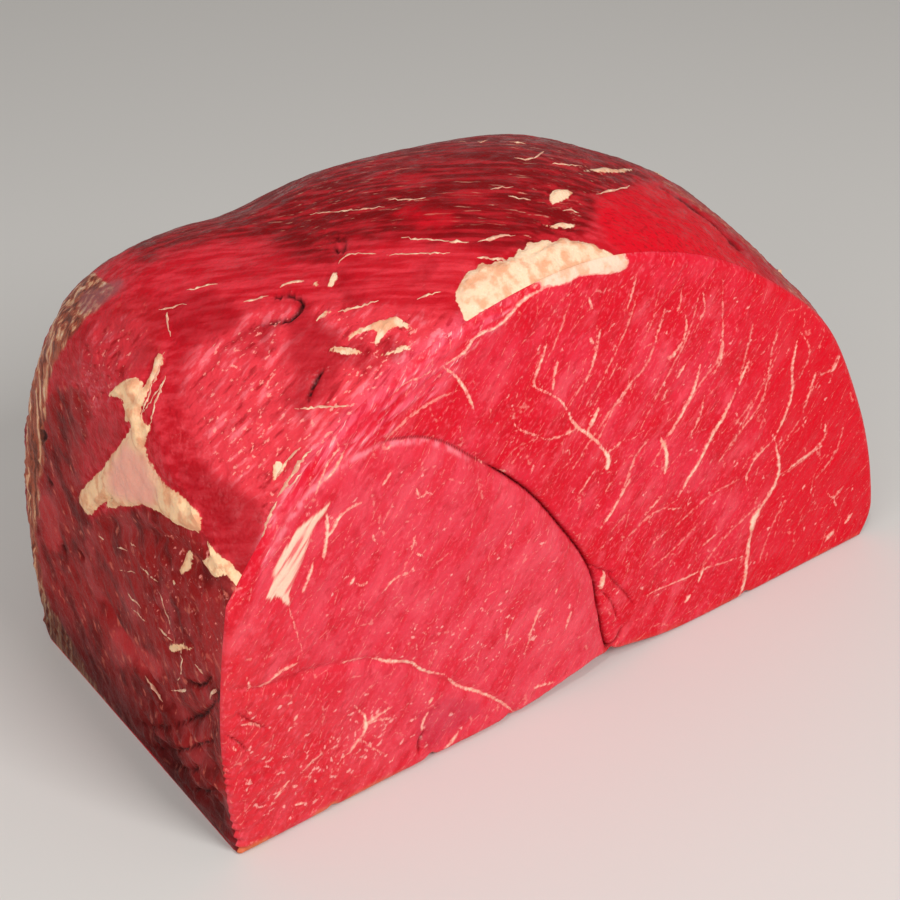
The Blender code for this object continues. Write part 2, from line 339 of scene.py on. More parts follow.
# %% Warps that every piece shares
NOTCH_X = 136.0
NOTCH_LIFT = 6.0
NOTCH_HALF_WIDTH = 22.0
NOTCH_HEIGHT = 30.0
NOTCH_REACH = 34.0
END_FULLNESS = 4.0
END_FULL_HEIGHT = 92.0
END_FULL_REACH = 70.0
END_FULL_BACK = 70.0

STEP_SPACING = 3.3
STEP_DEPTH = 1.9
STEP_TOP = 50.0
STEP_FADE = 20.0
STEP_REACH = 3.5
# Slow waves that make the steps uneven, each as its size and spacing in mm and its shift
STEP_WAVES = ((1.1, 5.3, 0.0), (0.7, 2.9, 1.0))
STEP_VARIETY = 0.35
STEP_VARIETY_SPACING = 4.1

# Nicks in the lower edge of the cut face, as pixels of the photograph, and how high each goes
EDGE_NICKS = (
    ((333, 812), 1.2),
    ((430, 757), 2.6),
    ((505, 718), 2.0),
    ((612, 650), 2.2),
    ((745, 598), 1.6),
)
NICK_HALF_WIDTH = 1.8
NICK_REACH = 7.0


def knife_marks(points):
    """The joint's warps: notch, swollen end, knife steps and nicks."""
    across, back, up = points.T
    notch = NOTCH_LIFT * np.exp(-(((across - NOTCH_X) / NOTCH_HALF_WIDTH) ** 2))
    notch = notch * np.clip(1 - back / NOTCH_REACH, 0, 1) ** 2 * np.clip(1 - up / NOTCH_HEIGHT, 0, 1)
    rise = np.sin(np.pi * np.clip(up / END_FULL_HEIGHT, 0, 1))
    fade = np.clip(1 - across / END_FULL_REACH, 0, 1) ** 2 * np.clip(1 - back / END_FULL_BACK, 0, 1)
    swell = END_FULLNESS * rise * fade
    uneven = up + sum(size * np.sin(up / spacing + shift) for size, spacing, shift in STEP_WAVES)
    steps = (1 + np.cos(2 * np.pi * uneven / STEP_SPACING)) / 2
    steps *= np.clip((STEP_TOP - up) / STEP_FADE, 0, 1)
    steps *= 1 - STEP_VARIETY + STEP_VARIETY * np.sin(up / STEP_VARIETY_SPACING)
    near_corner = np.clip(1 - across / STEP_REACH, 0, 1) * np.clip(1 - back / STEP_REACH, 0, 1)
    moved_x = across - swell + STEP_DEPTH * steps * near_corner
    moved_z = up + notch
    for pixel, height in EDGE_NICKS:
        bump = height * np.exp(-(((across - on_cut(pixel)[0]) / NICK_HALF_WIDTH) ** 2))
        moved_z += bump * np.clip(1 - back / NICK_REACH, 0, 1) * np.clip(1 - up / NICK_REACH, 0, 1) ** 2
    return np.stack([moved_x, back, moved_z], axis=1)


# %% [markdown]
# ## Fields: how far from a line, how far inside a patch
#
# Every vein, crease and patch of fat becomes one number per vertex: how deep inside it the
# vertex is. The number changes smoothly from vertex to vertex, so a material can find a crisp
# edge between them, and the same number lifts or sinks the mesh.

# %% Helpers that measure lines and patches in the photograph
FAR_OUTSIDE = 25.0


def curved(path, rounds=2):
    """The same path with its corners cut off."""
    path = np.array(path, float)
    for _ in range(rounds):
        first = path[:-1] * 0.75 + path[1:] * 0.25
        second = path[:-1] * 0.25 + path[1:] * 0.75
        middle = np.stack([first, second], axis=1).reshape(-1, 2)
        path = np.concatenate([path[:1], middle, path[-1:]])
    return path


def line_depth(pixels, half_width, path, taper=0.75):
    """How far inside a line each pixel lies, below 0 outside it. The line thins to its ends."""
    path = curved(path)
    steps = np.linalg.norm(np.diff(path, axis=0), axis=1)
    run = np.concatenate([[0.0], np.cumsum(steps)]) / steps.sum()
    depth = np.full(len(pixels), -FAR_OUTSIDE)
    around = (pixels > path.min(axis=0) - FAR_OUTSIDE) & (pixels < path.max(axis=0) + FAR_OUTSIDE)
    near = np.flatnonzero(around.all(axis=1))
    spots, found = pixels[near], depth[near]
    for start, end, run_start, run_end in zip(path, path[1:], run, run[1:]):
        line = end - start
        share = np.clip((spots - start) @ line / (line @ line), 0, 1)
        gap = np.linalg.norm(spots - start - share[:, None] * line, axis=1)
        at = run_start + (run_end - run_start) * share
        found = np.maximum(found, half_width * (1 - taper * (2 * at - 1) ** 4) - gap)
    depth[near] = found
    return depth


def patch_depth(pixels, path):
    """How far inside a closed patch each pixel lies, below 0 outside it."""
    path = curved(list(path) + [path[0]], 1)
    inside = np.zeros(len(pixels), bool)
    nearest = np.full(len(pixels), np.inf)
    x, y = pixels.T
    for start, end in zip(path, path[1:]):
        line = end - start
        share = np.clip((pixels - start) @ line / (line @ line), 0, 1)
        nearest = np.minimum(nearest, np.linalg.norm(pixels - start - share[:, None] * line, axis=1))
        crosses = (start[1] > y) != (end[1] > y)
        at = start[0] + (y - start[1]) * line[0] / (line[1] or 1.0)
        inside ^= crosses & (x < at)
    return np.where(inside, nearest, -nearest)


def deepest(pixels, lines=(), patches=()):
    """The deepest that each pixel lies in any of some lines and patches, in mm on the joint."""
    depth = np.full(len(pixels), -FAR_OUTSIDE)
    for half_width, *path in lines:
        depth = np.maximum(depth, line_depth(pixels, half_width, path))
    for path in patches:
        depth = np.maximum(depth, patch_depth(pixels, path))
    return depth / PIXELS_PER_MM


def smooth(value, low, high):
    """0 below low, 1 above high and a smooth rise between."""
    share = np.clip((value - low) / (high - low), 0, 1)
    return share * share * (3 - 2 * share)


def rough(points, spacing, octaves=3, shift=0.0):
    """Noise from about -1 to 1, in lumps that are about spacing apart (a number, or one per axis)."""
    scaled = points / np.array(spacing) + shift
    return np.array([noise.fractal(Vector(p), 0.9, 2.0, octaves) for p in scaled])


# %% [markdown]
# ## What shows on the cut face
#
# The cut goes across three muscles. Thin walls of fat and gristle part them and run on inside
# them as marbling. The large right muscle has long broken streaks that lean to the right, as
# its fibre bundles do. Each line is a half width in pixels and then the pixels that it runs
# through.

# %% Veins and streaks of fat on the cut face
CUT_VEINS = (
    (1.7, (548, 287), (525, 298), (511, 312), (500, 324), (474, 335), (468, 347), (457, 358), (437, 368)),
    (1.9, (442, 366), (455, 375), (462, 384), (471, 400), (474, 412)),
    (1.3, (437, 368), (427, 373), (417, 378), (406, 381), (393, 395)),
    (1.5, (547, 344), (540, 367), (531, 386), (549, 394)),
    (1.3, (531, 386), (551, 393), (564, 404), (576, 427)),
    (2.0, (566, 410), (576, 427), (589, 434), (600, 445), (607, 454)),
    (3.0, (604, 450), (609, 458), (606, 470)),
    (1.9, (587, 433), (593, 421), (600, 407)),
    (1.2, (576, 429), (561, 436), (546, 439), (535, 437)),
    (1.6, (513, 421), (516, 427), (525, 432), (540, 436)),
    (1.2, (607, 452), (616, 447), (625, 439)),
    (1.5, (558, 362), (553, 376), (552, 392)),
    (2.2, (660, 436), (665, 448), (667, 458), (664, 474)),
    (1.5, (798, 340), (791, 368), (794, 392), (781, 424), (774, 438)),
    (1.8, (774, 438), (778, 460), (779, 475), (770, 495), (755, 516)),
    (3.2, (760, 508), (752, 521), (750, 532)),
    (2.0, (752, 524), (747, 552), (744, 580), (737, 602)),
    (1.2, (774, 438), (762, 450), (755, 457), (748, 472), (746, 480), (749, 490)),
    (1.2, (779, 475), (789, 469), (801, 460), (812, 451), (824, 440)),
    (1.1, (800, 463), (805, 457), (822, 446)),
    (1.8, (737, 388), (730, 404), (719, 424), (709, 439), (703, 455), (689, 477), (676, 500)),
    (1.3, (751, 359), (744, 374), (738, 388)),
    (1.6, (700, 364), (696, 388), (684, 409), (668, 437)),
    (1.0, (705, 396), (701, 416), (687, 439)),
    (1.5, (633, 475), (622, 493), (607, 518), (599, 531)),
    (1.2, (663, 492), (656, 503), (644, 516)),
    (1.1, (668, 509), (682, 508)),
    (1.0, (747, 554), (721, 563), (704, 569), (676, 582), (643, 597)),
    (1.4, (704, 567), (698, 583)),
    (1.5, (690, 594), (684, 602)),
    (1.3, (840, 355), (835, 366), (829, 373)),
    (1.2, (816, 372), (811, 388), (805, 402)),
    (1.2, (826, 424), (825, 434)),
    (1.1, (826, 492), (833, 499), (838, 493), (845, 485)),
    (1.1, (834, 499), (836, 506)),
    (1.4, (852, 513), (844, 524)),
    (1.8, (835, 530), (824, 542)),
)

CUT_STREAKS = (
    (1.0, (637, 274), (633, 292), (627, 310)),
    (1.5, (588, 296), (592, 309)),
    (1.3, (600, 328), (597, 354), (586, 383)),
    (1.1, (666, 308), (660, 330), (653, 346)),
    (1.0, (684, 308), (687, 334), (668, 360)),
    (1.0, (706, 308), (693, 334)),
    (1.2, (722, 330), (723, 352), (713, 375)),
    (1.0, (778, 332), (772, 348)),
    (0.9, (702, 290), (706, 310)),
    (0.9, (682, 296), (677, 314)),
    (1.0, (617, 363), (610, 379)),
    (1.0, (634, 375), (625, 393), (617, 406)),
    (1.1, (686, 363), (677, 379)),
    (1.1, (668, 388), (663, 401)),
    (0.9, (769, 363), (768, 379)),
    (1.0, (724, 352), (714, 373)),
    (0.8, (760, 409), (745, 424), (735, 437)),
    (0.9, (644, 430), (628, 441)),
    (1.0, (640, 449), (630, 467)),
    (1.6, (590, 338), (594, 344)),
    (1.7, (669, 358), (675, 352)),
    (0.8, (617, 470), (606, 492)),
    (0.8, (595, 470), (575, 500)),
    (0.8, (650, 545), (668, 530)),
    (0.8, (720, 530), (700, 548)),
    (1.0, (654, 512), (648, 523)),
)

ROUND_MUSCLE_FAT = (
    (1.0, (287, 603), (291, 618), (296, 634), (303, 659)),
    (1.3, (347, 442), (334, 454), (325, 469), (314, 496)),
    (2.2, (325, 509), (327, 525), (324, 545), (322, 560)),
    (1.8, (322, 540), (331, 530), (338, 515), (345, 509)),
    (1.6, (344, 510), (352, 504), (362, 501)),
    (1.6, (313, 560), (307, 577), (300, 594)),
    (1.5, (391, 469), (381, 485)),
    (1.5, (414, 486), (418, 497), (425, 489)),
    (1.2, (414, 532), (409, 550)),
    (1.6, (413, 551), (422, 555)),
    (1.0, (371, 533), (376, 543)),
    (1.4, (370, 535), (374, 541)),
    (1.5, (354, 582), (362, 585), (366, 580)),
    (1.2, (416, 567), (392, 576), (379, 592)),
    (1.3, (538, 606), (532, 618), (528, 628), (521, 652)),
    (0.9, (569, 605), (559, 633)),
    (1.2, (504, 623), (502, 640)),
    (1.0, (554, 585), (552, 592)),
    (1.2, (354, 576), (348, 586)),
    (1.0, (434, 400), (424, 408), (412, 416)),
    (1.1, (394, 444), (383, 450)),
    (1.0, (448, 514), (446, 520)),
    (1.0, (478, 458), (488, 470)),
    (1.6, (503, 470), (507, 474)),
)

LOWER_FAT = (
    (1.2, (340, 664), (352, 660), (367, 657)),
    (2.2, (367, 657), (390, 661), (408, 659), (421, 670), (441, 672)),
    (2.0, (441, 672), (457, 686), (472, 688), (495, 697), (514, 712)),
    (1.6, (251, 687), (265, 687), (275, 673), (298, 660)),
    (1.4, (246, 676), (250, 690)),
    (2.2, (363, 712), (366, 724), (361, 735)),
    (1.4, (366, 722), (379, 712), (391, 704)),
    (1.3, (366, 724), (376, 718), (395, 716)),
    (1.3, (363, 715), (352, 703)),
    (1.2, (361, 733), (352, 748), (341, 758)),
    (1.3, (359, 737), (372, 748), (383, 752)),
    (1.6, (430, 695), (425, 703)),
    (1.4, (426, 709), (421, 718), (419, 730)),
    (1.8, (456, 728), (448, 741), (441, 748)),
    (1.6, (239, 724), (249, 722), (260, 726)),
    (1.5, (230, 745), (236, 750)),
    (1.4, (297, 713), (293, 720)),
    (1.2, (271, 802), (279, 790), (288, 778)),
    (1.2, (268, 804), (276, 801)),
    (1.2, (294, 805), (304, 802)),
    (1.2, (300, 770), (312, 760), (322, 751)),
    (2.4, (604, 572), (601, 590)),
    (1.5, (530, 686), (541, 682), (552, 680)),
)

FAINT_LINES = (
    (0.8, (665, 312), (647, 368), (627, 384), (596, 443)),
    (0.8, (723, 280), (723, 355), (704, 378), (691, 400), (671, 430), (650, 470)),
    (0.8, (753, 322), (743, 371), (738, 388)),
    (0.8, (782, 319), (772, 345), (769, 374), (762, 404), (736, 436), (715, 470)),
    (0.8, (815, 374), (808, 397), (802, 413)),
    (0.8, (838, 355), (831, 371), (821, 374)),
    (0.8, (828, 423), (826, 440), (802, 462), (782, 476)),
    (0.8, (674, 502), (645, 518), (625, 540)),
    (0.7, (756, 397), (743, 413), (730, 430)),
    (0.8, (658, 430), (642, 446), (629, 472), (622, 495), (602, 525)),
    (0.7, (638, 374), (615, 404), (589, 443), (572, 470)),
    (0.7, (597, 325), (596, 358), (584, 384), (560, 420)),
    (0.7, (740, 479), (710, 495), (691, 512), (674, 528)),
    (0.7, (763, 502), (743, 518), (723, 538), (700, 570)),
    (0.7, (700, 290), (690, 330), (665, 380), (640, 430)),
    (0.7, (640, 290), (625, 335), (605, 375), (585, 410)),
    (0.7, (780, 350), (755, 400), (730, 450)),
    (0.6, (800, 420), (778, 450)),
    (0.6, (570, 300), (560, 335), (545, 365)),
    (0.7, (800, 330), (812, 350), (800, 380)),
    (0.6, (845, 420), (838, 450), (815, 480)),
    (0.6, (700, 520), (680, 545), (650, 570)),
    (0.6, (785, 500), (770, 530), (760, 560)),
    (0.6, (660, 300), (650, 330), (640, 350)),
    (1.2, (460, 390), (441, 397), (422, 408), (411, 416), (393, 433), (381, 448)),
)
RIM_SCRAPS = (
    (1.3, (348, 443), (335, 470), (318, 486)),
    (1.9, (312, 448), (300, 462), (290, 478), (277, 497)),
    (1.2, (323, 446), (319, 454), (303, 473), (287, 489)),
    (1.3, (300, 447), (286, 462), (276, 478)),
    (1.2, (277, 500), (266, 524), (259, 550)),
)
BAND = (
    (254, 592), (262, 545), (285, 492), (325, 436), (375, 382), (440, 330), (500, 298), (522, 308),
    (470, 350), (441, 397), (411, 416), (393, 433), (350, 455), (310, 487), (280, 530), (258, 592),
)

FAT_WEDGE = (
    (332, 498), (320, 509), (298, 527), (285, 547), (274, 567), (265, 596), (267, 603), (278, 594),
    (283, 603), (289, 605), (289, 592), (298, 574), (305, 552), (312, 529), (325, 509),
)

# %% Seams of the cut face
ROUND_SEAM = (
    (255, 590), (266, 558), (280, 530), (294, 506), (310, 487), (330, 468), (350, 455), (370, 446),
    (390, 440), (412, 437), (430, 438), (444, 442), (455, 447), (472, 457), (490, 467), (510, 478),
    (530, 492), (546, 508), (560, 525), (576, 544), (590, 565), (596, 582), (598, 600), (602, 624),
    (608, 648),
)
OPEN_FROM = 492.0
OPEN_RUN = 14.0
LOWER_SEAM = (
    (228, 690), (262, 690), (290, 678), (320, 668), (345, 664), (365, 660), (400, 660), (420, 671),
    (440, 680), (480, 690), (512, 710),
)
SEAM_TWIGS = (
    (1.0, (592, 566), (603, 571), (614, 573)),
    (1.2, (606, 570), (614, 582), (625, 592), (635, 605)),
    (1.0, (600, 590), (612, 600), (618, 620)),
    (1.2, (608, 648), (618, 640), (622, 628)),
    (1.4, (418, 752), (416, 742), (422, 730)),
    (1.2, (226, 735), (238, 741), (246, 750)),
    (1.0, (236, 712), (252, 722), (266, 728)),
)


def round_muscle_depth(pixels):
    """How far inside the round muscle each pixel lies, in mm."""
    closing = [(612, 700), (500, 760), (240, 900), (200, 700), (228, 640)]
    return patch_depth(pixels, list(ROUND_SEAM) + closing) / PIXELS_PER_MM


line_count = len(CUT_VEINS) + len(CUT_STREAKS) + len(ROUND_MUSCLE_FAT) + len(LOWER_FAT)
print(line_count, "lines of fat on the cut face")

# %% [markdown]
# ## Marbling too fine to read
#
# Between the veins that can be picked out, the photograph shows hundreds of short pale streaks.
# They are strewn by a seeded draw, with the lean and length that each muscle shows.

# %% Strew short streaks over the muscles
draw = np.random.default_rng(11)
RIGHT_MUSCLE = (
    (520, 300), (620, 285), (760, 290), (850, 400), (865, 500), (740, 590), (620, 630), (560, 500),
    (470, 430),
)
ROUND_MUSCLE = (
    (290, 520), (380, 455), (450, 460), (560, 540), (590, 640), (480, 670), (330, 650), (300, 600),
)
LOWER_MUSCLE = ((240, 700), (330, 680), (420, 680), (500, 705), (400, 760), (260, 840), (235, 760))
BEADED_ROWS = ((385, 652), (400, 612), (470, 598), (545, 602), (556, 636), (500, 668))
# Pale beads in the lower muscle, partly fat and partly painted glints
BEADS_AND_GLINTS = (
    (292, 776), (330, 742), (352, 700), (392, 694), (398, 716), (372, 742), (392, 756), (345, 764),
    (312, 782),
)
# A darker patch of lean in the lower muscle
DARKER_PATCH = ((412, 712), (440, 692), (476, 698), (482, 712), (452, 728), (430, 748), (414, 744))
# Each patch's streaks: how many, their lean and its spread in degrees, lengths and half widths
STREWN = (
    (RIGHT_MUSCLE, 300, 58, 9, (2, 9), (0.3, 0.8)),
    (ROUND_MUSCLE, 120, 34, 14, (2, 9), (0.4, 1.0)),
    (LOWER_MUSCLE, 170, 38, 24, (2, 10), (0.5, 1.3)),
    (BEADED_ROWS, 260, 10, 12, (1, 4), (0.3, 0.8)),
    (BEADS_AND_GLINTS, 260, 45, 30, (1, 4), (0.4, 1.0)),
)
SAG = 1.2


def strewn(corners, count, lean, spread, lengths, half_widths):
    """Short lines at random places in a patch, leaning by about an angle in degrees."""
    low, high = np.min(corners, axis=0), np.max(corners, axis=0)
    places = draw.uniform(low, high, (count, 2))
    places = places[patch_depth(places, corners) > 0]
    lines = []
    for place in places:
        angle = math.radians(draw.normal(lean, spread))
        half = draw.uniform(*lengths) / 2 * np.array([math.cos(angle), -math.sin(angle)])
        sag = draw.normal(0, SAG, 2)
        lines.append((draw.uniform(*half_widths), place - half, place + sag, place + half))
    return lines


streaklets = [line for row in STREWN for line in strewn(*row)]
print(len(streaklets), "short streaks strewn")

# %% [markdown]
# ## What shows on the outer side
#
# The outer side was parted from its neighbours along natural seams. It keeps a cap of fat over
# the cut, scraps and strings of fat on the trimmed end, a dark smooth membrane on top and a
# strip of silverskin at the far left. Closed outlines are patches and open ones are lines.

# %% Fat on the top and the middle of the outer side
TOP_FAT = (
    (461, 312), (456, 298), (458, 286), (463, 278), (469, 269), (476, 271), (480, 263), (489, 266),
    (496, 260), (504, 263), (510, 256), (516, 258), (517, 247), (524, 250), (528, 240), (537, 244),
    (545, 238), (553, 243), (561, 238), (572, 241), (582, 240), (594, 245), (606, 251), (614, 257),
    (625, 257), (630, 263), (625, 271), (612, 274),
    (593, 274), (578, 276), (568, 283), (553, 286), (536, 289), (517, 295), (504, 302), (486, 310),
    (473, 316), (464, 322),
)
MIDDLE_FAT = (
    (
        (347, 339), (350, 333), (362, 328), (371, 323), (385, 320), (395, 317), (406, 322), (414, 329),
        (408, 329), (400, 325), (393, 328), (385, 334), (381, 342), (373, 347), (376, 338), (379, 331),
        (374, 329), (362, 333), (354, 336),
    ),
    (
        (328, 352), (334, 346), (346, 347), (355, 349), (366, 354), (360, 354), (349, 355), (341, 356),
        (334, 352),
    ),
    ((378, 353), (393, 352), (401, 346), (413, 346), (411, 348), (398, 353), (387, 356)),
    ((316, 320), (322, 314), (331, 311), (327, 316), (322, 320)),
    ((327, 286), (330, 276), (336, 269), (337, 279), (330, 288)),
    ((310, 283), (320, 280), (315, 287)),
    ((550, 194), (552, 191), (558, 190), (568, 191), (572, 194), (564, 199), (555, 204), (550, 199)),
    ((544, 226), (552, 223), (564, 222), (580, 226), (561, 228)),
    ((582, 171), (603, 167), (615, 169), (634, 168), (625, 172), (606, 173)),
)
TOP_LINES = (
    (1.4, (295, 409), (320, 407), (350, 406)),
    (1.6, (280, 288), (283, 283), (304, 281)),
    (1.3, (338, 264), (344, 257), (352, 253), (376, 254)),
    (0.9, (386, 255), (418, 253), (450, 253)),
    (1.3, (338, 311), (362, 306), (378, 301)),
    (1.5, (417, 298), (440, 292)),
    (1.2, (310, 214), (350, 210), (385, 207)),
    (1.3, (402, 238), (425, 239), (450, 241)),
    (1.6, (448, 242), (469, 242)),
    (1.8, (478, 242), (488, 239), (499, 236), (515, 235)),
    (1.8, (477, 257), (491, 258), (509, 261)),
    (1.2, (407, 201), (425, 198)),
    (1.2, (388, 199), (419, 200)),
    (1.2, (491, 189), (513, 187)),
    (1.6, (509, 195), (519, 199), (531, 200)),
    (1.6, (552, 164), (566, 164), (582, 166)),
    (1.6, (514, 158), (534, 160), (544, 151)),
    (2.2, (509, 142), (526, 144)),
    (1.8, (596, 194), (612, 190), (630, 186)),
    (1.1, (458, 142), (467, 142)),
    (1.1, (477, 142), (488, 141)),
    (1.4, (563, 211), (571, 209), (579, 213)),
    (1.3, (159, 310), (167, 310), (179, 304), (186, 305)),
    (1.3, (167, 312), (167, 326), (171, 336)),
    (1.4, (187, 290), (218, 283)),
    (1.4, (243, 302), (269, 296)),
)

# %% Fat on the trimmed end
END_FAT = (
    ((107, 397), (116, 386), (132, 376), (143, 381), (141, 392), (129, 406), (124, 401), (116, 397)),
    (
        (154, 357), (161, 352), (162, 363), (154, 379), (145, 397), (136, 415), (132, 419), (126, 424),
        (124, 417), (134, 401), (145, 383), (152, 370),
    ),
    (
        (136, 419), (143, 421), (152, 426), (143, 439), (146, 455), (154, 471), (163, 482), (179, 495),
        (194, 508), (202, 520), (201, 534), (190, 530), (179, 525), (160, 512), (144, 505), (132, 505),
        (116, 507), (103, 510), (114, 496), (97, 507), (90, 518), (77, 498), (85, 486), (98, 475),
        (109, 459), (125, 439), (132, 424),
    ),
    ((203, 560), (213, 557), (221, 569), (228, 577), (216, 579), (204, 568)),
    (
        (204, 540), (221, 554), (243, 576), (257, 590), (257, 597), (249, 615), (243, 622), (243, 606),
        (247, 597), (238, 588), (224, 571), (212, 560),
    ),
    ((184, 552), (189, 553), (189, 569), (181, 576), (178, 574), (181, 560)),
    ((167, 646), (184, 643), (193, 650), (182, 650), (171, 652)),
    ((122, 403), (136, 401), (144, 422), (140, 430), (131, 426)),
)
END_LINES = (
    (1.2, (163, 382), (151, 400), (143, 412)),
    (1.4, (150, 424), (156, 400), (166, 376)),
    (1.0, (140, 418), (150, 392), (164, 352)),
    (1.6, (118, 547), (127, 550)),
    (1.4, (130, 543), (135, 546)),
    (1.2, (99, 536), (104, 540)),
    (1.0, (117, 570), (135, 573)),
    (1.0, (140, 567), (157, 582)),
    (1.6, (131, 608), (146, 622)),
    (1.3, (159, 592), (164, 608), (171, 624)),
    (1.1, (159, 627), (171, 641)),
    (1.2, (181, 649), (182, 668), (178, 684)),
    (1.4, (171, 690), (189, 690)),
    (1.8, (144, 676), (153, 688), (163, 702)),
    (1.4, (195, 665), (203, 674)),
    (2.0, (210, 700), (212, 690), (222, 688), (232, 690), (235, 700)),
    (1.5, (127, 593), (141, 608)),
    (1.1, (173, 580), (174, 585)),
)
print(len(MIDDLE_FAT) + len(END_FAT) + 1, "patches of fat outside")
print(len(TOP_LINES) + len(END_LINES), "strings of fat outside")

# %% Membranes and muscles of the outer side
MEMBRANE = (
    (140, 262), (200, 246), (258, 240), (290, 256), (330, 262), (345, 240), (402, 238), (450, 244),
    (500, 254), (530, 248), (575, 240), (590, 232), (598, 215), (610, 198), (632, 186), (655, 178),
    (720, 150), (640, 110), (500, 80), (300, 100), (90, 210),
)
RED_SPOT = ((398, 214), (410, 207), (440, 208), (455, 216), (448, 226), (420, 228), (402, 222))
FRESH_CUT = (
    (594, 198), (639, 186), (657, 183), (684, 205), (717, 228), (738, 250), (764, 276), (720, 278),
    (675, 271), (632, 265), (606, 240),
)
ROUGH_FLESH = (
    (265, 300), (345, 300), (440, 310), (470, 320), (440, 355), (380, 400), (340, 450), (300, 500),
    (262, 570), (240, 560), (215, 500), (190, 430), (175, 380), (200, 330),
)
END_MUSCLE = (
    (90, 516), (105, 510), (135, 504), (165, 511), (202, 535), (257, 592), (243, 618), (228, 690),
    (240, 857), (150, 860), (20, 700), (0, 500), (40, 400), (70, 380), (95, 400), (80, 470),
)
END_UPPER = (
    (60, 345), (80, 318), (110, 303), (150, 296), (168, 310), (165, 345), (150, 360), (118, 385),
    (105, 400), (125, 430), (105, 470), (75, 500), (45, 500), (42, 430), (50, 380),
)
DARK_LEAN = (
    (
        (178, 455), (200, 470), (232, 480), (262, 505), (266, 535), (258, 590), (240, 570), (205, 535),
        (190, 500),
    ),
    ((160, 300), (200, 290), (240, 300), (230, 330), (190, 345), (170, 335)),
    ((300, 300), (345, 340), (330, 400), (300, 410), (285, 360)),
    (
        (640, 172), (700, 188), (740, 218), (780, 262), (812, 300), (764, 276), (738, 250), (717, 228),
        (680, 196),
    ),
)
PINK_FAT = ((128, 440), (145, 455), (158, 480), (160, 505), (135, 503), (110, 490), (112, 465))
PALE_SCRAP = ((274, 465), (279, 461), (285, 467), (279, 475), (273, 485))
RED_STREAK = ((40, 496), (50, 494), (60, 520), (62, 552), (50, 550), (42, 525))
BRIGHT_MEAT = ((196, 586), (222, 594), (234, 612), (232, 650), (222, 690), (206, 676), (198, 636))
# Where pale flecks are painted on torn flesh: the first patch is a cluster of painted glints on the
# trimmed end, the second holds tan flecks
FLECKS_AND_GLINTS = (
    ((150, 520), (205, 535), (240, 575), (235, 640), (205, 680), (165, 640), (130, 590)),
    ((85, 330), (120, 312), (150, 325), (140, 372), (110, 400), (80, 440), (62, 400)),
)
PINK_MUSCLE = (
    (112, 633), (122, 630), (138, 646), (160, 660), (162, 678), (148, 678), (128, 657), (116, 644),
)
SILVERSKIN = (
    (116, 288), (102, 304), (81, 325), (67, 342), (56, 360), (48, 384), (46, 408), (43, 431), (44, 449),
    (41, 484), (38, 512), (37, 544), (39, 569), (46, 595), (57, 617), (71, 637), (84, 666), (95, 684),
    (103, 696), (116, 712), (90, 760), (10, 600), (0, 400), (40, 280), (80, 262),
)
PURPLE_SKIN = ((78, 300), (90, 288), (112, 279), (130, 281), (112, 300), (92, 314), (80, 318))
RIM_SKIN = (
    (4.0, (662, 181), (690, 197), (722, 219), (748, 242), (766, 262)),
    (2.6, (770, 268), (793, 289), (815, 315), (834, 338), (852, 362)),
)
# Creases and small hollows of the outer side. They sink the mesh and are painted dark as shade.
OUTER_CREASES = (
    (1.6, (274, 296), (290, 296), (303, 299), (303, 306), (293, 319), (274, 323), (261, 325)),
    (1.6, (323, 371), (311, 385), (309, 400)),
    (1.6, (42, 430), (44, 436), (40, 444)),
    (1.1, (136, 720), (152, 726), (170, 727), (180, 725)),
    (1.7, (176, 726), (198, 717), (209, 709), (216, 700)),
    (1.3, (150, 744), (168, 751), (188, 749), (212, 741)),
    (1.1, (168, 765), (186, 771), (204, 766)),
    (1.0, (192, 789), (206, 793), (219, 786)),
    (1.8, (186, 681), (197, 687), (205, 684), (211, 678)),
    (1.6, (213, 692), (222, 692), (218, 702)),
    (1.3, (60, 545), (64, 553)),
    (1.2, (79, 552), (84, 559)),
    (1.2, (48, 476), (52, 486)),
    (1.0, (330, 240), (340, 238), (347, 245), (341, 251), (333, 247)),
    (1.5, (114, 497), (106, 503)),
    (1.5, (530, 255), (545, 248), (551, 244)),
    (0.5, (660, 186), (687, 203), (717, 226), (741, 250)),
)
END_CREASES = (
    (((4, 90), (20, 96), (46, 88), (70, 76)), 1.6),
    (((6, 48), (28, 34), (50, 32), (78, 42)), 2.2),
)

# %% [markdown]
# The photograph doesn't show the far side, so it is finished like the top: membrane, a few long
# seams between muscles and scraps of fat. These are placed by x and z in millimetres.

# %% The far side
FAR_SEAMS = (
    (1.6, (-20, 92), (30, 84), (90, 88), (150, 76), (215, 50), (250, 20)),
    (1.3, (60, 86), (80, 60), (95, 30), (100, 0)),
    (1.2, (150, 76), (165, 110), (190, 140)),
)
FAR_FAT = (
    ((14, 108), (34, 117), (62, 116), (88, 108), (102, 100), (80, 100), (58, 106), (34, 103)),
    ((104, 62), (128, 69), (158, 60), (174, 49), (150, 51), (126, 56)),
    ((166, 124), (190, 126), (214, 114), (228, 98), (208, 106), (186, 115)),
)

# %% [markdown]
# ## The cut face
#
# The fresh cut is the side that people look at, so it is a thin slab of its own with a mesh
# fine enough for single veins. A flat grid is laid between the four outlines. Its rim is
# turned back like the edge of a slice of bread, and the wall and back close it behind.

# %% Lay the grid of the cut face
CUT_CELLS = (400, 230)
BODY_START = 1.5
SLAB_DEPTH = 5.5
SLAB_INSET = 0.985
RIM_ROUNDING = 2.0

slab = bmesh.new()
bmesh.ops.create_grid(slab, x_segments=CUT_CELLS[0], y_segments=CUT_CELLS[1], size=0.5)
bmesh.ops.translate(slab, vec=(0.5, 0.5, 0), verts=slab.verts)
slab_rim = [edge for edge in slab.edges if edge.is_boundary]
unit = np.array([v.co for v in slab.verts])
cut_flat = patch(*(cut_edges[name] for name in SIDES[0][3]), unit[:, 0], unit[:, 1])
print(len(slab.faces), "faces on the cut face")
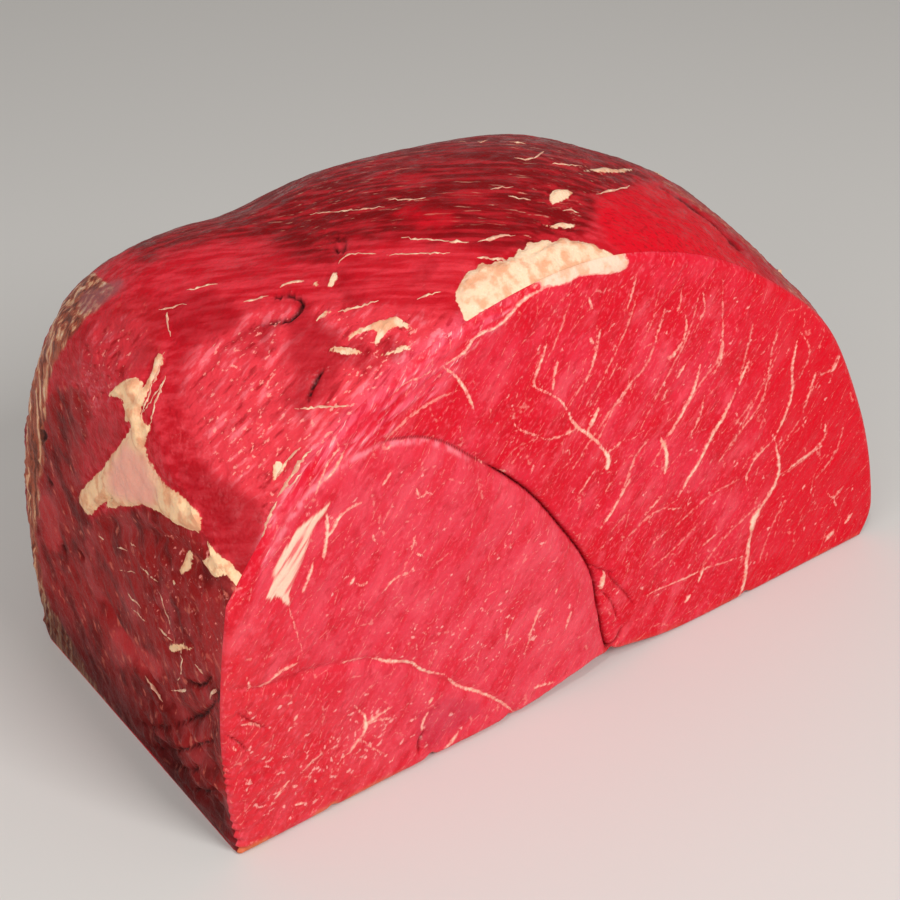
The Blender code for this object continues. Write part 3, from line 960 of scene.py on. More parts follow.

# %% Measure the fields of the cut face
# The crest is a painted highlight along the lit edge of the round muscle, broken in places
CREST_INSIDE = 1.3
CREST_WIDTH = 1.1
CREST_BREAKS = 2.4
CREST_GAPS = (-0.7, 0.3)
VEIN_THINNING = 0.19
WEDGE_STRANDS = 1.6
WEDGE_LEAN = math.radians(58)
WEDGE_SPACINGS = (16.0, 3.0, 1.8)
# Each of these comes in or fades out between two pixels, across or down the photograph
TIGHT_ACROSS = (340, 480)
GAPE_DOWN = (440, 470)
CREST_ENDS_ACROSS = (490, 440)
CREST_ENDS_DOWN = (600, 500)
THIN_LINE_STARTS = (360, 400)
THIN_LINE_ENDS = (500, 470)
PURE_RED_ACROSS = (690, 830)
ROUND_EDGE = (-1.5, 1.5)
WEDGE_EDGE = (-0.7, 0.5)


def leaning(points, lean, spacings):
    """Points turned so that a grain leaning by an angle in the cut runs along their first axis."""
    across, back, up = points.T
    long_way = math.cos(lean) * across + math.sin(lean) * up
    short_way = math.cos(lean) * up - math.sin(lean) * across
    return np.stack([long_way, back, short_way], axis=1) / np.array(spacings)


pixels = in_photo(knife_marks(cut_flat))
cut_lines = CUT_VEINS + CUT_STREAKS + ROUND_MUSCLE_FAT + LOWER_FAT + RIM_SCRAPS
veins = deepest(pixels, cut_lines) - VEIN_THINNING
wedge = deepest(pixels, patches=[FAT_WEDGE])
wedge -= WEDGE_STRANDS * np.abs(rough(leaning(cut_flat, WEDGE_LEAN, WEDGE_SPACINGS), 1.0))
cut_fat = np.maximum(veins, deepest(pixels, patches=[TOP_FAT]))
cut_fine = deepest(pixels, streaklets)
cut_faint = deepest(pixels, FAINT_LINES)
round_inside = round_muscle_depth(pixels)
seam_depth = line_depth(pixels, 0, ROUND_SEAM, 0) / PIXELS_PER_MM
lower_seam = line_depth(pixels, 0, LOWER_SEAM, 0) / PIXELS_PER_MM
twigs = deepest(pixels, SEAM_TWIGS)
seam_open = smooth(pixels[:, 0], OPEN_FROM - OPEN_RUN, OPEN_FROM + OPEN_RUN)
seam_open *= smooth(pixels[:, 1], *GAPE_DOWN)
tightness = smooth(pixels[:, 0], *TIGHT_ACROSS)
# A painted highlight: a pale line along the lit edge of the round muscle, just inside its seam
crest = np.exp(-(((round_inside - CREST_INSIDE) / CREST_WIDTH) ** 2))
crest *= smooth(pixels[:, 0], *CREST_ENDS_ACROSS) * smooth(pixels[:, 1], *CREST_ENDS_DOWN)
crest *= smooth(rough(cut_flat, CREST_BREAKS, 3), *CREST_GAPS)
thin_line = smooth(pixels[:, 0], *THIN_LINE_STARTS) * smooth(pixels[:, 0], *THIN_LINE_ENDS)
print("deepest fat is", cut_fat.max().round(2), "mm from its edge")

# %% [markdown]
# The relief follows. The round muscle stands proud of its seam, the seam gapes at its right
# half, fibre bundles make a faint grain and fat stands a little higher than lean.

# %% Raise and sink the cut face
ROUND_PROUD = 1.6
ROUND_SWELL = (-1.0, 9.0)
LOOSE_SWELL = 0.35
SEAM_DIP = 0.7
SEAM_WIDTH = 1.5
SEAM_LINE_WIDTH = 0.5
LOOSE_DIP = 0.2
GAPE_DEPTH = 2.0
GAPE_WIDTH = 0.45
LOWER_DIP = 0.9
TWIG_DIP = 1.0
TWIG_EDGE = (-0.6, 0.5)
BAND_RISE = 0.4
BAND_EDGE = (-5, 7)
BAND_GAPS = (-0.35, 0.55)
STREAK_WIDTH = 1.2
STREAK_LENGTH = 10.0
RIM_CALM = 3.0
VEIN_RISE = 0.22
VEIN_EDGE = (-0.4, 0.5)
GRAIN_RISE = 0.16
GRAIN_LEAN = math.radians(48)
GRAIN_SPACINGS = (9.0, 3.0, 1.8)
UNEVENNESS = 0.5
UNEVEN_SPACING = 17.0
LOWER_FROM_ROW = 660
LOWER_SPAN = (160, 420)
LOWER_ROUGHNESS = 0.35
LOWER_SPACING = 2.6
LOW_EDGE_HEIGHTS = (4.6, 1.2)
LOW_EDGE_ACROSS = (420, 340)
LOW_EDGE_GAPS = (-0.5, 0.3)
LOW_EDGE_LUMPS = (9.0, 2, 6.0)
LOW_EDGE_LEAST = 0.3
DARKER_PATCH_EDGE = (-5, 8)
DARKER_PATCH_RAGGEDNESS = 5.0
DARKER_PATCH_SPACING = 6.0
THIN_SEAM_SHADE = 0.8
OPEN_SEAM_SHADE = 0.9
TWIG_SHADE = 0.6
TWIG_LINE = (-0.4, 0.4)

loose_swell = LOOSE_SWELL + (1 - LOOSE_SWELL) * tightness
loose_dip = LOOSE_DIP + (1 - LOOSE_DIP) * tightness
cut_relief = ROUND_PROUD * smooth(round_inside, *ROUND_SWELL) * loose_swell
cut_relief -= SEAM_DIP * np.exp(-((seam_depth / SEAM_WIDTH) ** 2)) * loose_dip
cut_relief -= GAPE_DEPTH * seam_open * np.exp(-((seam_depth / GAPE_WIDTH) ** 2))
cut_relief -= LOWER_DIP * np.exp(-((lower_seam / SEAM_WIDTH) ** 2))
cut_relief -= TWIG_DIP * smooth(twigs, *TWIG_EDGE)
cut_relief += VEIN_RISE * smooth(np.maximum(cut_fat, wedge), *VEIN_EDGE)
cut_relief += GRAIN_RISE * rough(leaning(cut_flat, GRAIN_LEAN, GRAIN_SPACINGS), 1.0)
cut_relief += UNEVENNESS * rough(cut_flat, UNEVEN_SPACING, 2)
low_edge = smooth(cut_flat[:, 2], *LOW_EDGE_HEIGHTS)
low_edge *= smooth(rough(cut_flat, *LOW_EDGE_LUMPS), *LOW_EDGE_GAPS)
low_edge *= LOW_EDGE_LEAST + (1 - LOW_EDGE_LEAST) * smooth(pixels[:, 0], *LOW_EDGE_ACROSS)
darker_patch_inside = patch_depth(pixels, DARKER_PATCH) + DARKER_PATCH_RAGGEDNESS * rough(cut_flat, DARKER_PATCH_SPACING)
cut_lower = 1 - smooth(pixels[:, 0] + (LOWER_FROM_ROW - pixels[:, 1]), *LOWER_SPAN)
cut_relief += LOWER_ROUGHNESS * cut_lower * rough(cut_flat, LOWER_SPACING)

rim_points = np.array([v.co for v in {v for edge in slab_rim for v in edge.verts}])
rim_flat = patch(*(cut_edges[name] for name in SIDES[0][3]), rim_points[:, 0], rim_points[:, 1])
tree = KDTree(len(rim_flat))
for index, point in enumerate(rim_flat):
    tree.insert(point, index)
tree.balance()
from_rim = np.array([tree.find(point)[2] for point in cut_flat])
along_rim = (cut_flat[:, 0] + cut_flat[:, 2]) / math.sqrt(2)
band_places = np.stack([from_rim, along_rim, np.zeros(len(cut_flat))], axis=1)
band_streaks = rough(band_places, (STREAK_WIDTH, STREAK_LENGTH, 1.0), 4)
in_band = smooth(patch_depth(pixels, BAND), *BAND_EDGE)
band = in_band * smooth(band_streaks, *BAND_GAPS)
cut_relief += BAND_RISE * in_band * band_streaks
cut_relief *= smooth(from_rim, 0, RIM_CALM)
turned = np.clip(RIM_ROUNDING - from_rim, 0, RIM_ROUNDING)
turned = 1 - np.sqrt(1 - (turned / RIM_ROUNDING) ** 2)
body_edges = edge_curves(BODY_START)
cut_behind = patch(*(body_edges[name] for name in SIDES[0][3]), unit[:, 0], unit[:, 1])
cut_placed = knife_marks(cut_flat + turned[:, None] * (cut_behind - cut_flat))
cut_placed[:, 1] -= cut_relief
for vertex, point in zip(slab.verts, cut_placed):
    vertex.co = (point + CORNER) * MM
print("lowest and highest relief of the cut face:", cut_relief.min().round(2), cut_relief.max().round(2))


def store_fields(grid, fields):
    """Keeps one number per vertex for each field, which later steps and materials can read."""
    for field_name, values in fields.items():
        layer = grid.verts.layers.float.new(field_name)
        for vertex, value in zip(grid.verts, values):
            vertex[layer] = value


# The seam is painted dark as shadow: a thin painted shadow along its left half, the shade inside its gape
# at the right, and its twigs
seam_line = np.exp(-((seam_depth / SEAM_LINE_WIDTH) ** 2))
seam_line *= THIN_SEAM_SHADE * thin_line + OPEN_SEAM_SHADE * seam_open
store_fields(slab, {
    "fat": cut_fat,
    "fine": cut_fine,
    "faint": cut_faint,
    "round_muscle": smooth(round_inside, *ROUND_EDGE),
    "seam": seam_line + TWIG_SHADE * smooth(twigs, *TWIG_LINE),
    "lower": cut_lower,
    "bruise": smooth(darker_patch_inside, *DARKER_PATCH_EDGE),
    "band": band,
    "deep": smooth(pixels[:, 0], *PURE_RED_ACROSS),
    "crest": crest,
    "wedge": smooth(wedge, *WEDGE_EDGE),
    "low_edge": low_edge,
})

# %% Close the slab behind
SHARP_FROM = math.radians(60)
SHARP_ON_STRINGS = math.radians(80)
middle = Vector((np.array([CUT_HEART_X, 0, CUT_HEART_Z]) + CORNER) * MM)


def drawn_in(grid, rim, share, depth):
    """Extrudes an open rim towards the middle of the cut face, to a depth in mm."""
    made = bmesh.ops.extrude_edge_only(grid, edges=rim)["geom"]
    for vertex in (item for item in made if isinstance(item, bmesh.types.BMVert)):
        vertex.co = middle + (vertex.co - middle) * share
        vertex.co.y = (depth + CORNER[1]) * MM
    return [item for item in made if isinstance(item, bmesh.types.BMEdge)]


inner_rim = drawn_in(slab, slab_rim, SLAB_INSET, BODY_START)
bmesh.ops.edgeloop_fill(slab, edges=drawn_in(slab, inner_rim, 1.0, SLAB_DEPTH))
bmesh.ops.recalc_face_normals(slab, faces=slab.faces)


def finish_mesh(name, grid, sharp_angle):
    """Turns a bmesh into an object that rides with the joint."""
    mesh = bpy.data.meshes.new(name)
    grid.to_mesh(mesh)
    grid.free()
    mesh.shade_smooth()
    mesh.set_sharp_from_angle(angle=sharp_angle)
    piece = bpy.data.objects.new(name, mesh)
    bpy.context.scene.collection.objects.link(piece)
    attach(piece, "root")
    print(name, "has", sum(len(face.vertices) - 2 for face in mesh.polygons), "triangles")
    return piece


cut_face = finish_mesh("cut_face", slab, SHARP_FROM)

# %% [markdown]
# ## The body
#
# The rest of the joint is one closed piece that stands for the solid. A box is cut into fine
# cells, its front is taken out, and it is stretched over the lump with its front rim just
# behind the cut face. The rim is then drawn inwards and closed behind the slab.

# %% Cut the box and stretch it over the joint
BODY_CELLS = (200, 112, 120)
FRONT_CROWDING = 1.2
SOFTENED = (0.06, 0.893)
SOFTEN_FROM = 0.1
SOFTEN_PASSES = 100
BACK_SOFTENED = 0.95
BACK_PASSES = 40

body = bmesh.new()
bmesh.ops.create_cube(body, size=1.0)
bmesh.ops.translate(body, vec=(0.5, 0.5, 0.5), verts=body.verts)
for axis, cells in enumerate(BODY_CELLS):
    lengthwise = [edge for edge in body.edges if abs((edge.verts[1].co - edge.verts[0].co)[axis]) > 0.5]
    bmesh.ops.subdivide_edges(body, edges=lengthwise, cuts=cells - 1, use_grid_fill=True)
front_faces = [face for face in body.faces if all(vertex.co.y < ON_SIDE for vertex in face.verts)]
bmesh.ops.delete(body, geom=front_faces, context="FACES")

box = np.array([v.co for v in body.verts])
on_left, _, on_base = (box < ON_SIDE).T
crowded = box.copy()
crowded[:, 1] **= FRONT_CROWDING
stretched = knife_marks(stretch_over_joint(crowded, body_edges))
for vertex, point in zip(body.verts, stretched):
    vertex.co = point
print(len(body.verts), "points on the body")

# %% Round off the edges of the trimmed end that aren't knife edges
def soften(mesh, chosen, passes):
    """Relaxes some points of a mesh towards their neighbours."""
    verts = [vertex for vertex, pick in zip(mesh.verts, chosen) if pick]
    for _ in range(passes):
        bmesh.ops.smooth_vert(
            mesh, verts=verts, factor=0.5, use_axis_x=True, use_axis_y=True, use_axis_z=True
        )


near_side = box[:, 0] < SOFTENED[0]
soften(body, near_side & (box[:, 2] > SOFTENED[1]) & (box[:, 1] > SOFTEN_FROM), SOFTEN_PASSES)
soften(body, near_side & (box[:, 1] > BACK_SOFTENED) & (box[:, 2] > SOFTENED[0]), BACK_PASSES)
body.normal_update()
points = np.array([v.co for v in body.verts])
normals = np.array([v.normal for v in body.verts])

# %% Measure the fields of the body
STRAND_STRETCH = 4.0
STRAND_SPACING = 17.0
STRAND_HEIGHT = 0.8
LUMP_SPACING = 34.0
LUMPINESS = 1.1
BOARD_CALM = 6.0
SEEN_FACING = 0.12
CALM_BEHIND_CUT = (BODY_START - 1.0, BODY_START + 6.0)

outer = (~(on_left | on_base)).astype(float)
stretched_places = points / np.array((STRAND_STRETCH, 1, 1)) / STRAND_SPACING
form = STRAND_HEIGHT * np.array([noise.noise(Vector(p)) for p in stretched_places])
form += LUMPINESS * np.array([noise.noise(Vector(p)) for p in points / LUMP_SPACING])
from_board = np.clip(points[:, 2] / BOARD_CALM, 0, 1)
from_cut = smooth(points[:, 1], *CALM_BEHIND_CUT)
form *= outer * from_board * from_cut
points = points + normals * form[:, None]

to_camera = CAMERA_PLACE - points
facing = (normals * to_camera).sum(axis=1) / np.linalg.norm(to_camera, axis=1)
seen = smooth(facing, 0.0, SEEN_FACING)
WOBBLE = 2.0
WOBBLE_SPACING = 5.0
wobble = WOBBLE * np.stack([rough(points, WOBBLE_SPACING, 2, shift) for shift in (3.0, 7.0)], axis=1)
straight_pixels = in_photo(points)
pixels = straight_pixels + wobble
across_back = points[:, [0, 2]] + wobble


def seen_or_far(near, far):
    return seen * near + (1 - seen) * far


# %% Fields of fat, skin and muscle
END_ACROSS = (16, 3)
FOOT_HEIGHTS = (34, 6)
FOOT_SHADE = 0.65
# Each noise is the spacing of its lumps in mm, its octaves and its shift
TUFTS = ((16, 12, 5), 4, 5.0)
SCRAPS = ((34, 26, 8), 3, 8.0)
FAR_PATCHES = ((40, 24, 24), 3, 2.0)
RAGGED_EDGE = ((16, 6, 6), 3, 1.0)
SPOT_EDGE = ((20, 4, 4), 3, 6.0)
SPOT_RAGGEDNESS = 9.0
SPOT_DEPTHS = (-10, 8)
RIM_RAGGEDNESS = 2.1
RIM_DEPTHS = (-1.5, 1.0)
# How far the fat of the far side stands in from its outlines, and what breaks it up
FAR_FAT_INSET = 1.0
TUFT_SIZE = 6.0
SEAM_SHARE = 0.3
SEAM_TUFTS = 3.4
SEAM_GAPS = 0.3
SCRAP_SIZE = 5.0
SCRAP_GAPS = 0.66
FAR_BROWN_GAPS = (0.0, 0.6)
FAR_SILVER_GAPS = (0.1, 0.7)
CREASE_DEPTHS = (-0.8, 0.6)
FAR_CREASE_DEPTHS = (-1.5, 1.0)
# How strongly each of these shows where it is fullest
SHARES = {
    "far membrane": 0.85,
    "far brown": 0.35,
    "far silver": 0.15,
    "far crease": 0.4,
    "red spot": 0.6,
    "end upper": 0.4,
    "flecks and glints": 0.95,
    "rim skin": 0.4,
    "bright": 0.6,
}
DARK_CALM = 0.6
BROWN_DRY = 0.5
SILVER_CALM = 0.5
# Each patch's outlines, the depths in pixels over which it comes in, and how ragged its edge is
PATCHES = {
    "membrane": ([MEMBRANE], -14, 16, 7.0),
    "fresh": ([FRESH_CUT], -8, 8, 3.5),
    "end muscle": ([END_MUSCLE], -10, 12, 7.0),
    "end upper": ([END_UPPER], -10, 8, 7.0),
    "dark": (DARK_LEAN, -12, 10, 7.0),
    "flecks and glints": (FLECKS_AND_GLINTS, -8, 8, 7.0),
    "rough": ([ROUGH_FLESH], -12, 18, 0.0),
    "pink": ([PINK_MUSCLE, RED_STREAK], -4, 3, 0.0),
    "bright": ([BRIGHT_MEAT], -6, 8, 7.0),
    "silver": ([SILVERSKIN], -1.5, 2.5, 1.75),
    "purple": ([PURPLE_SKIN], -5, 7, 4.2),
    "pink fat": ([PINK_FAT], -10, 10, 0.0),
    "band": ([BAND], -12, 4, 0.0),
}

hidden = (1 - on_base.astype(float))
far_seam = np.max([line_depth(across_back, width, path) for width, *path in FAR_SEAMS], axis=0)
tufts = rough(points, *TUFTS)
far_fat = np.max([patch_depth(across_back, path) for path in FAR_FAT], axis=0)
far_fat = far_fat - FAR_FAT_INSET + TUFT_SIZE * tufts
far_fat = np.maximum(far_fat, SEAM_SHARE * far_seam + SEAM_TUFTS * (tufts - SEAM_GAPS))
far_fat = np.maximum(far_fat, SCRAP_SIZE * (rough(points, *SCRAPS) - SCRAP_GAPS))
far_fat = np.where(on_base, -FAR_OUTSIDE, far_fat)
thick_fat = seen_or_far(deepest(pixels, patches=(TOP_FAT, PALE_SCRAP, *MIDDLE_FAT, *END_FAT)), far_fat)

far_noise = rough(points, *FAR_PATCHES)
ragged_edge = rough(points, *RAGGED_EDGE)
within = {}
for name, (paths, low, high, raggedness) in PATCHES.items():
    depths = [patch_depth(pixels, path) + raggedness * ragged_edge for path in paths]
    within[name] = smooth(np.max(depths, axis=0), low, high)
membrane = seen_or_far(within["membrane"], SHARES["far membrane"] * hidden)
spot_inside = patch_depth(pixels, RED_SPOT) + SPOT_RAGGEDNESS * rough(points, *SPOT_EDGE)
fresh = seen * (within["fresh"] + SHARES["red spot"] * smooth(spot_inside, *SPOT_DEPTHS))
end_brown = np.maximum(within["end muscle"], SHARES["end upper"] * within["end upper"])
brown = seen_or_far(end_brown, SHARES["far brown"] * smooth(far_noise, *FAR_BROWN_GAPS))
# Patches of painted glints count as torn flesh, which carries the pale flecks
rough_flesh = np.maximum(within["rough"], SHARES["flecks and glints"] * within["flecks and glints"])
rough_flesh *= seen * (1 - DARK_CALM * within["dark"])
pink = seen * np.maximum(within["pink"], SHARES["bright"] * within["bright"])
far_silver = SHARES["far silver"] * smooth(far_noise, *FAR_SILVER_GAPS) * hidden
silver = seen_or_far(within["silver"], far_silver)
rim_inside = np.max([line_depth(straight_pixels, width, path) for width, *path in RIM_SKIN], axis=0)
rim_inside += RIM_RAGGEDNESS * ragged_edge
silver = np.maximum(silver, SHARES["rim skin"] * seen * smooth(rim_inside, *RIM_DEPTHS))
# Creases, hollows and the far seams are painted dark as shade, and so is the foot of the trimmed end near
# the floor
near_crease = smooth(deepest(pixels, OUTER_CREASES), *CREASE_DEPTHS)
far_crease = SHARES["far crease"] * smooth(far_seam, *FAR_CREASE_DEPTHS) * hidden
on_end = smooth(points[:, 0], *END_ACROSS)
shaded_foot = FOOT_SHADE * smooth(points[:, 2], *FOOT_HEIGHTS) * on_end
crease = seen_or_far(np.maximum(near_crease, shaded_foot), far_crease)
print("share of the body that the camera sees:", seen.mean().round(2))

# %% Raise and sink the body
FAT_RISE = 1.2
NODULES = 1.0
ROUGHNESS_RISE = 0.9
FOLD_LEAN = math.radians(34)
OUTER_GRAIN = 0.28
SKIN_RISE = 0.5
# Each noise is the spacing of its lumps in mm, its octaves and its shift
FOLD_LUMPS = ((12, 24, 7.0), 3, 2.0)
GRAIN_LUMPS = ((11, 2.6, 2.6), 3, 4.0)
SKIN_LUMPS = ((6.0, 9.0, 4.0), 2, 9.0)
NODULE_LUMPS = (5.5, 2)
STRAND_SPACINGS = (13.0, 5.0, 3.2)
TORN_SPACINGS = (9.0, 4.0, 3.0)
CREASE_DIP = 1.3
END_CREASE_HALF_WIDTH = 3.2
END_STRANDS = 0.5
END_FOLDS = 3.0
END_STRAND_LEAN = math.radians(50)
FOLDS_BELOW = (44, 26)
FOLDS_LEFT_OF = (14, 4)
FOLDS_NEARER_THAN = (70, 40)
BOUNDARY_DIP = 0.5
FAT_EDGE = (-0.3, 2.2)
NODULES_INSIDE = (0.2, 1.5)
BOUNDARY_OUTSIDE = 0.7
BOUNDARY_HALF_WIDTH = 0.6

relief = FAT_RISE * smooth(thick_fat, *FAT_EDGE)
end_places = leaning(points[:, (1, 0, 2)], END_STRAND_LEAN, STRAND_SPACINGS)
relief += END_STRANDS * seen * brown * rough(end_places, 1.0)
folded = smooth(points[:, 2], *FOLDS_BELOW) * smooth(points[:, 0], *FOLDS_LEFT_OF)
folded *= smooth(points[:, 1], *FOLDS_NEARER_THAN)
relief += END_FOLDS * folded * rough(points, *FOLD_LUMPS)
relief += NODULES * smooth(thick_fat, *NODULES_INSIDE) * rough(points, *NODULE_LUMPS)
relief -= BOUNDARY_DIP * np.exp(-(((thick_fat + BOUNDARY_OUTSIDE) / BOUNDARY_HALF_WIDTH) ** 2))
relief += ROUGHNESS_RISE * rough_flesh * rough(leaning(points, FOLD_LEAN, TORN_SPACINGS), 1.0)
relief += OUTER_GRAIN * rough(points, *GRAIN_LUMPS) * (1 - SILVER_CALM * silver)
relief += SKIN_RISE * silver * rough(points, *SKIN_LUMPS)
relief -= CREASE_DIP * seen_or_far(near_crease, far_crease)
for path, depth in END_CREASES:
    gap = line_depth(points[:, 1:], 0, path, 0)
    relief -= depth * on_left * np.exp(-((gap / END_CREASE_HALF_WIDTH) ** 2))
relief *= from_board * from_cut * hidden
points = points + normals * relief[:, None]
for vertex, point in zip(body.verts, points):
    vertex.co = (point + CORNER) * MM
body_surface = BVHTree.FromBMesh(body)
print("lowest and highest relief of the body:", relief.min().round(2), relief.max().round(2))

# %% Draw the front rim inwards and close it
store_fields(body, {
    "fat": thick_fat,
    "end": smooth(points[:, 0], *END_ACROSS),
    "dark": seen * within["dark"],
    "pink_fat": seen * within["pink fat"],
    "band": seen * within["band"],
    "membrane": membrane,
    "fresh": fresh,
    "rough": rough_flesh,
    "brown": brown,
    "pink": pink,
    "silver": silver,
    "purple": seen * within["purple"],
    "crease": crease,
    "damp": 1 - BROWN_DRY * brown,
})
BODY_INSET = 0.965
BODY_RECESS = 6.2

front_rim = [edge for edge in body.edges if edge.is_boundary]
bmesh.ops.edgeloop_fill(body, edges=drawn_in(body, front_rim, BODY_INSET, BODY_RECESS))
bmesh.ops.recalc_face_normals(body, faces=body.faces)

rump = finish_mesh("rump_body", body, SHARP_FROM)
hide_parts("rump")

# %% [markdown]
# Strings of fat too thin for the body's mesh are tubes of their own. Each follows its line of
# the photograph over the body, thins out to both ends and lies half sunk in the meat.

# %% Lay strings of fat over the body
STRING_STEP = 3.0
STRING_WANDER = 0.5
STRING_SINK = 0.55
THINNEST = 0.08
SWELLING = (0.35, 1.4)
FEWEST_STEPS = 4
FEWEST_ROUNDS = 3
WELD = 0.02 * MM
string_draw = np.random.default_rng(5)
eye = Vector(camera.location)
behind_cut = (BODY_START + CORNER[1]) * MM

curves = bpy.data.curves.new("fat_strings", "CURVE")
curves.dimensions = "3D"
curves.bevel_depth = MM
curves.bevel_resolution = 1
curves.use_fill_caps = True
for half_width, *path in TOP_LINES + END_LINES + RIM_SCRAPS:
    path = curved(path)
    run = np.concatenate([[0.0], np.cumsum(np.linalg.norm(np.diff(path, axis=0), axis=1))])
    steps = np.linspace(0, 1, max(FEWEST_STEPS, int(run[-1] / STRING_STEP)))
    spots = np.stack([np.interp(steps * run[-1], run, axis) for axis in path.T], axis=1)
    spots += string_draw.normal(0, STRING_WANDER, spots.shape)
    hits = [body_surface.ray_cast(eye, Vector(sight(spot)).normalized()) for spot in spots]
    rounds = [(step, *hit[:2]) for step, hit in zip(steps, hits) if hit[0] and hit[0].y > behind_cut]
    if len(rounds) < FEWEST_ROUNDS:
        continue
    spline = curves.splines.new("POLY")
    spline.points.add(len(rounds) - 1)
    swelling = string_draw.uniform(*SWELLING, len(rounds))
    for point, (step, place, up), swell in zip(spline.points, rounds, swelling):
        radius = max(THINNEST, half_width / PIXELS_PER_MM * swell * (1 - (2 * step - 1) ** 4))
        point.co = (*(place - up * radius * STRING_SINK * MM), 1.0)
        point.radius = radius
string_curves = bpy.data.objects.new("string_curves", curves)
bpy.context.scene.collection.objects.link(string_curves)
bent = string_curves.evaluated_get(bpy.context.evaluated_depsgraph_get())
tubes = bmesh.new()
tubes.from_mesh(bpy.data.meshes.new_from_object(bent))
bmesh.ops.remove_doubles(tubes, verts=tubes.verts, dist=WELD)
bmesh.ops.recalc_face_normals(tubes, faces=tubes.faces)
bpy.data.objects.remove(string_curves)
fat_strings = finish_mesh("fat_strings", tubes, SHARP_ON_STRINGS)

# %% [markdown]
# ## Materials
#
# Raw beef is translucent and wet. Light goes a little way in and comes back red, and the film
# of juice on top gives small sharp glints. Colour could be painted on an image, but noise at the
# real spacings of bundles and fibres holds at any distance, so each material is a base colour
# with coats laid over it. A coat shows where a field or a pattern is within a range.

# %% Helpers for materials
# Settings that all raw meat shares
FLESH = {
    "Roughness": 0.42,
    "IOR": 1.38,
    "Specular IOR Level": 0.12,
    "Subsurface Weight": 0.12,
    "Subsurface Radius": (1.0, 0.25, 0.15),
    "Subsurface Scale": 2.0 * MM,
    "Coat Roughness": 0.1,
    "Coat IOR": 1.33,
}


def colour(code):
    """Linear colour from an sRGB hex code."""
    channels = [int(code[at : at + 2], 16) / 255 for at in (0, 2, 4)]
    linear = [c / 12.92 if c <= 0.04045 else ((c + 0.055) / 1.055) ** 2.4 for c in channels]
    return (*linear, 1.0)


def add(tree, kind, sockets=None, **settings):
    """Adds a node with its settings, and fills or links its inputs."""
    node = tree.nodes.new("ShaderNode" + kind)
    for name, value in settings.items():
        setattr(node, name, value)
    for name, value in (sockets or {}).items():
        if isinstance(value, bpy.types.NodeSocket):
            tree.links.new(value, node.inputs[name])
        else:
            node.inputs[name].default_value = value
    return node


def new_material(name):
    material = bpy.data.materials.new(name)
    material.use_nodes = True
    return material, material.node_tree, material.node_tree.nodes["Principled BSDF"]


def measures(tree, patterns, fields):
    """Patterns at real sizes in mm, turned by degrees, and fields read from the mesh, by name."""
    place = add(tree, "TexCoord").outputs["Object"]
    found = {}
    for name, (turn, size, detail) in patterns.items():
        turned = tuple(math.radians(angle) for angle in turn)
        scale = tuple(length * MM for length in size)
        laying = {"Vector": place, "Rotation": turned, "Scale": scale}
        laid = add(tree, "Mapping", laying, vector_type="TEXTURE").outputs[0]
        found[name] = add(tree, "TexNoise", {"Vector": laid, "Scale": 1.0, "Detail": detail}).outputs[0]
    for name in fields:
        found[name] = add(tree, "Attribute", attribute_name=name).outputs["Fac"]
    return found


def laid_over(tree, found, base, coats):
    """Lays coats over a base colour: the measure that shows each, its range, strength and colour."""
    base = colour(base)
    for name, low, high, strength, top in coats:
        reach_of_coat = {"Value": found[name], "From Min": low, "From Max": high, "To Max": strength}
        share = add(tree, "MapRange", reach_of_coat, interpolation_type="SMOOTHSTEP").outputs["Result"]
        top = colour(top) if isinstance(top, str) else top
        base = add(tree, "Mix", {0: share, 6: base, 7: top}, data_type="RGBA").outputs[2]
    return base


def wet_flesh(tree, surface, base, found, wetness, relief_mm):
    """Sets what all raw meat shares: light that goes in, and a film that is wet in spots."""
    relief = {"Height": found["height"], "Distance": relief_mm * MM}
    bumps = add(tree, "Bump", relief).outputs["Normal"]
    spots = {"Value": found["wet"], "From Min": 0.5, "From Max": 0.64, "To Min": 0.05, "To Max": wetness}
    film = add(tree, "MapRange", spots).outputs["Result"]
    links = {"Base Color": base, "Coat Weight": film, "Normal": bumps, "Coat Normal": bumps}
    for name, source in links.items():
        tree.links.new(source, surface.inputs[name])
    for name, value in FLESH.items():
        surface.inputs[name].default_value = value


# %% [markdown]
# The cut face is beef sliced across its fibre bundles. Lean is a clear red, pinker in the round
# muscle and purer at the far right. Bundles are 5 to 6 mm thick, run on to the lower left and are
# parted by hair-thin pale walls. Fat is cream, with a pink edge where it thins out. The seam is
# painted dark as shadow, a pale painted highlight runs along the lit edge of the round muscle, and
# some pale beads in the lower muscle are painted glints.

# %% Freshly cut beef
BUNDLES = (0, -52, 0)
CUT_PATTERNS = {
    "mottle": ((0, 0, 0), (18, 18, 18), 5.0),
    "patches": (BUNDLES, (16, 7, 7), 6.0),
    "fibres": (BUNDLES, (1.9, 1.4, 1.1), 4.0),
    "shreds": (BUNDLES, (5, 4, 3), 5.0),
    "crumbs": ((0, 0, 0), (0.9, 0.9, 0.9), 3.0),
    "beads": ((0, 0, 0), (1.3, 1.3, 1.3), 3.0),
    "wet": ((0, 0, 0), (5, 5, 5), 5.0),
    "strokes": ((0, -50, 0), (16, 3, 1.7), 5.0),
    "fine strokes": ((0, -50, 0), (9, 1.6, 0.8), 3.0),
    "lumps": ((0, 0, 0), (4, 4, 4), 4.0),
}
CUT_FIELDS = (
    "fat", "fine", "faint", "round_muscle", "seam", "lower", "band", "low_edge", "deep", "crest",
    "wedge", "bruise",
)
LEAN_DEEP = "D80C24"
LEAN_BRIGHT = "E42C42"
LEAN_SHADE = "BC0418"
LEAN_PURE = "DC001C"
LEAN_BLOOM = "F25A68"
ROUND_LEAN = "E43C4E"
LOWER_LEAN = "DC323C"
BAND_LEAN = "EE5468"
BAND_PALE_AND_CREST_HIGHLIGHT = "FA8C98"
BAND_DEEP = "CC1A36"
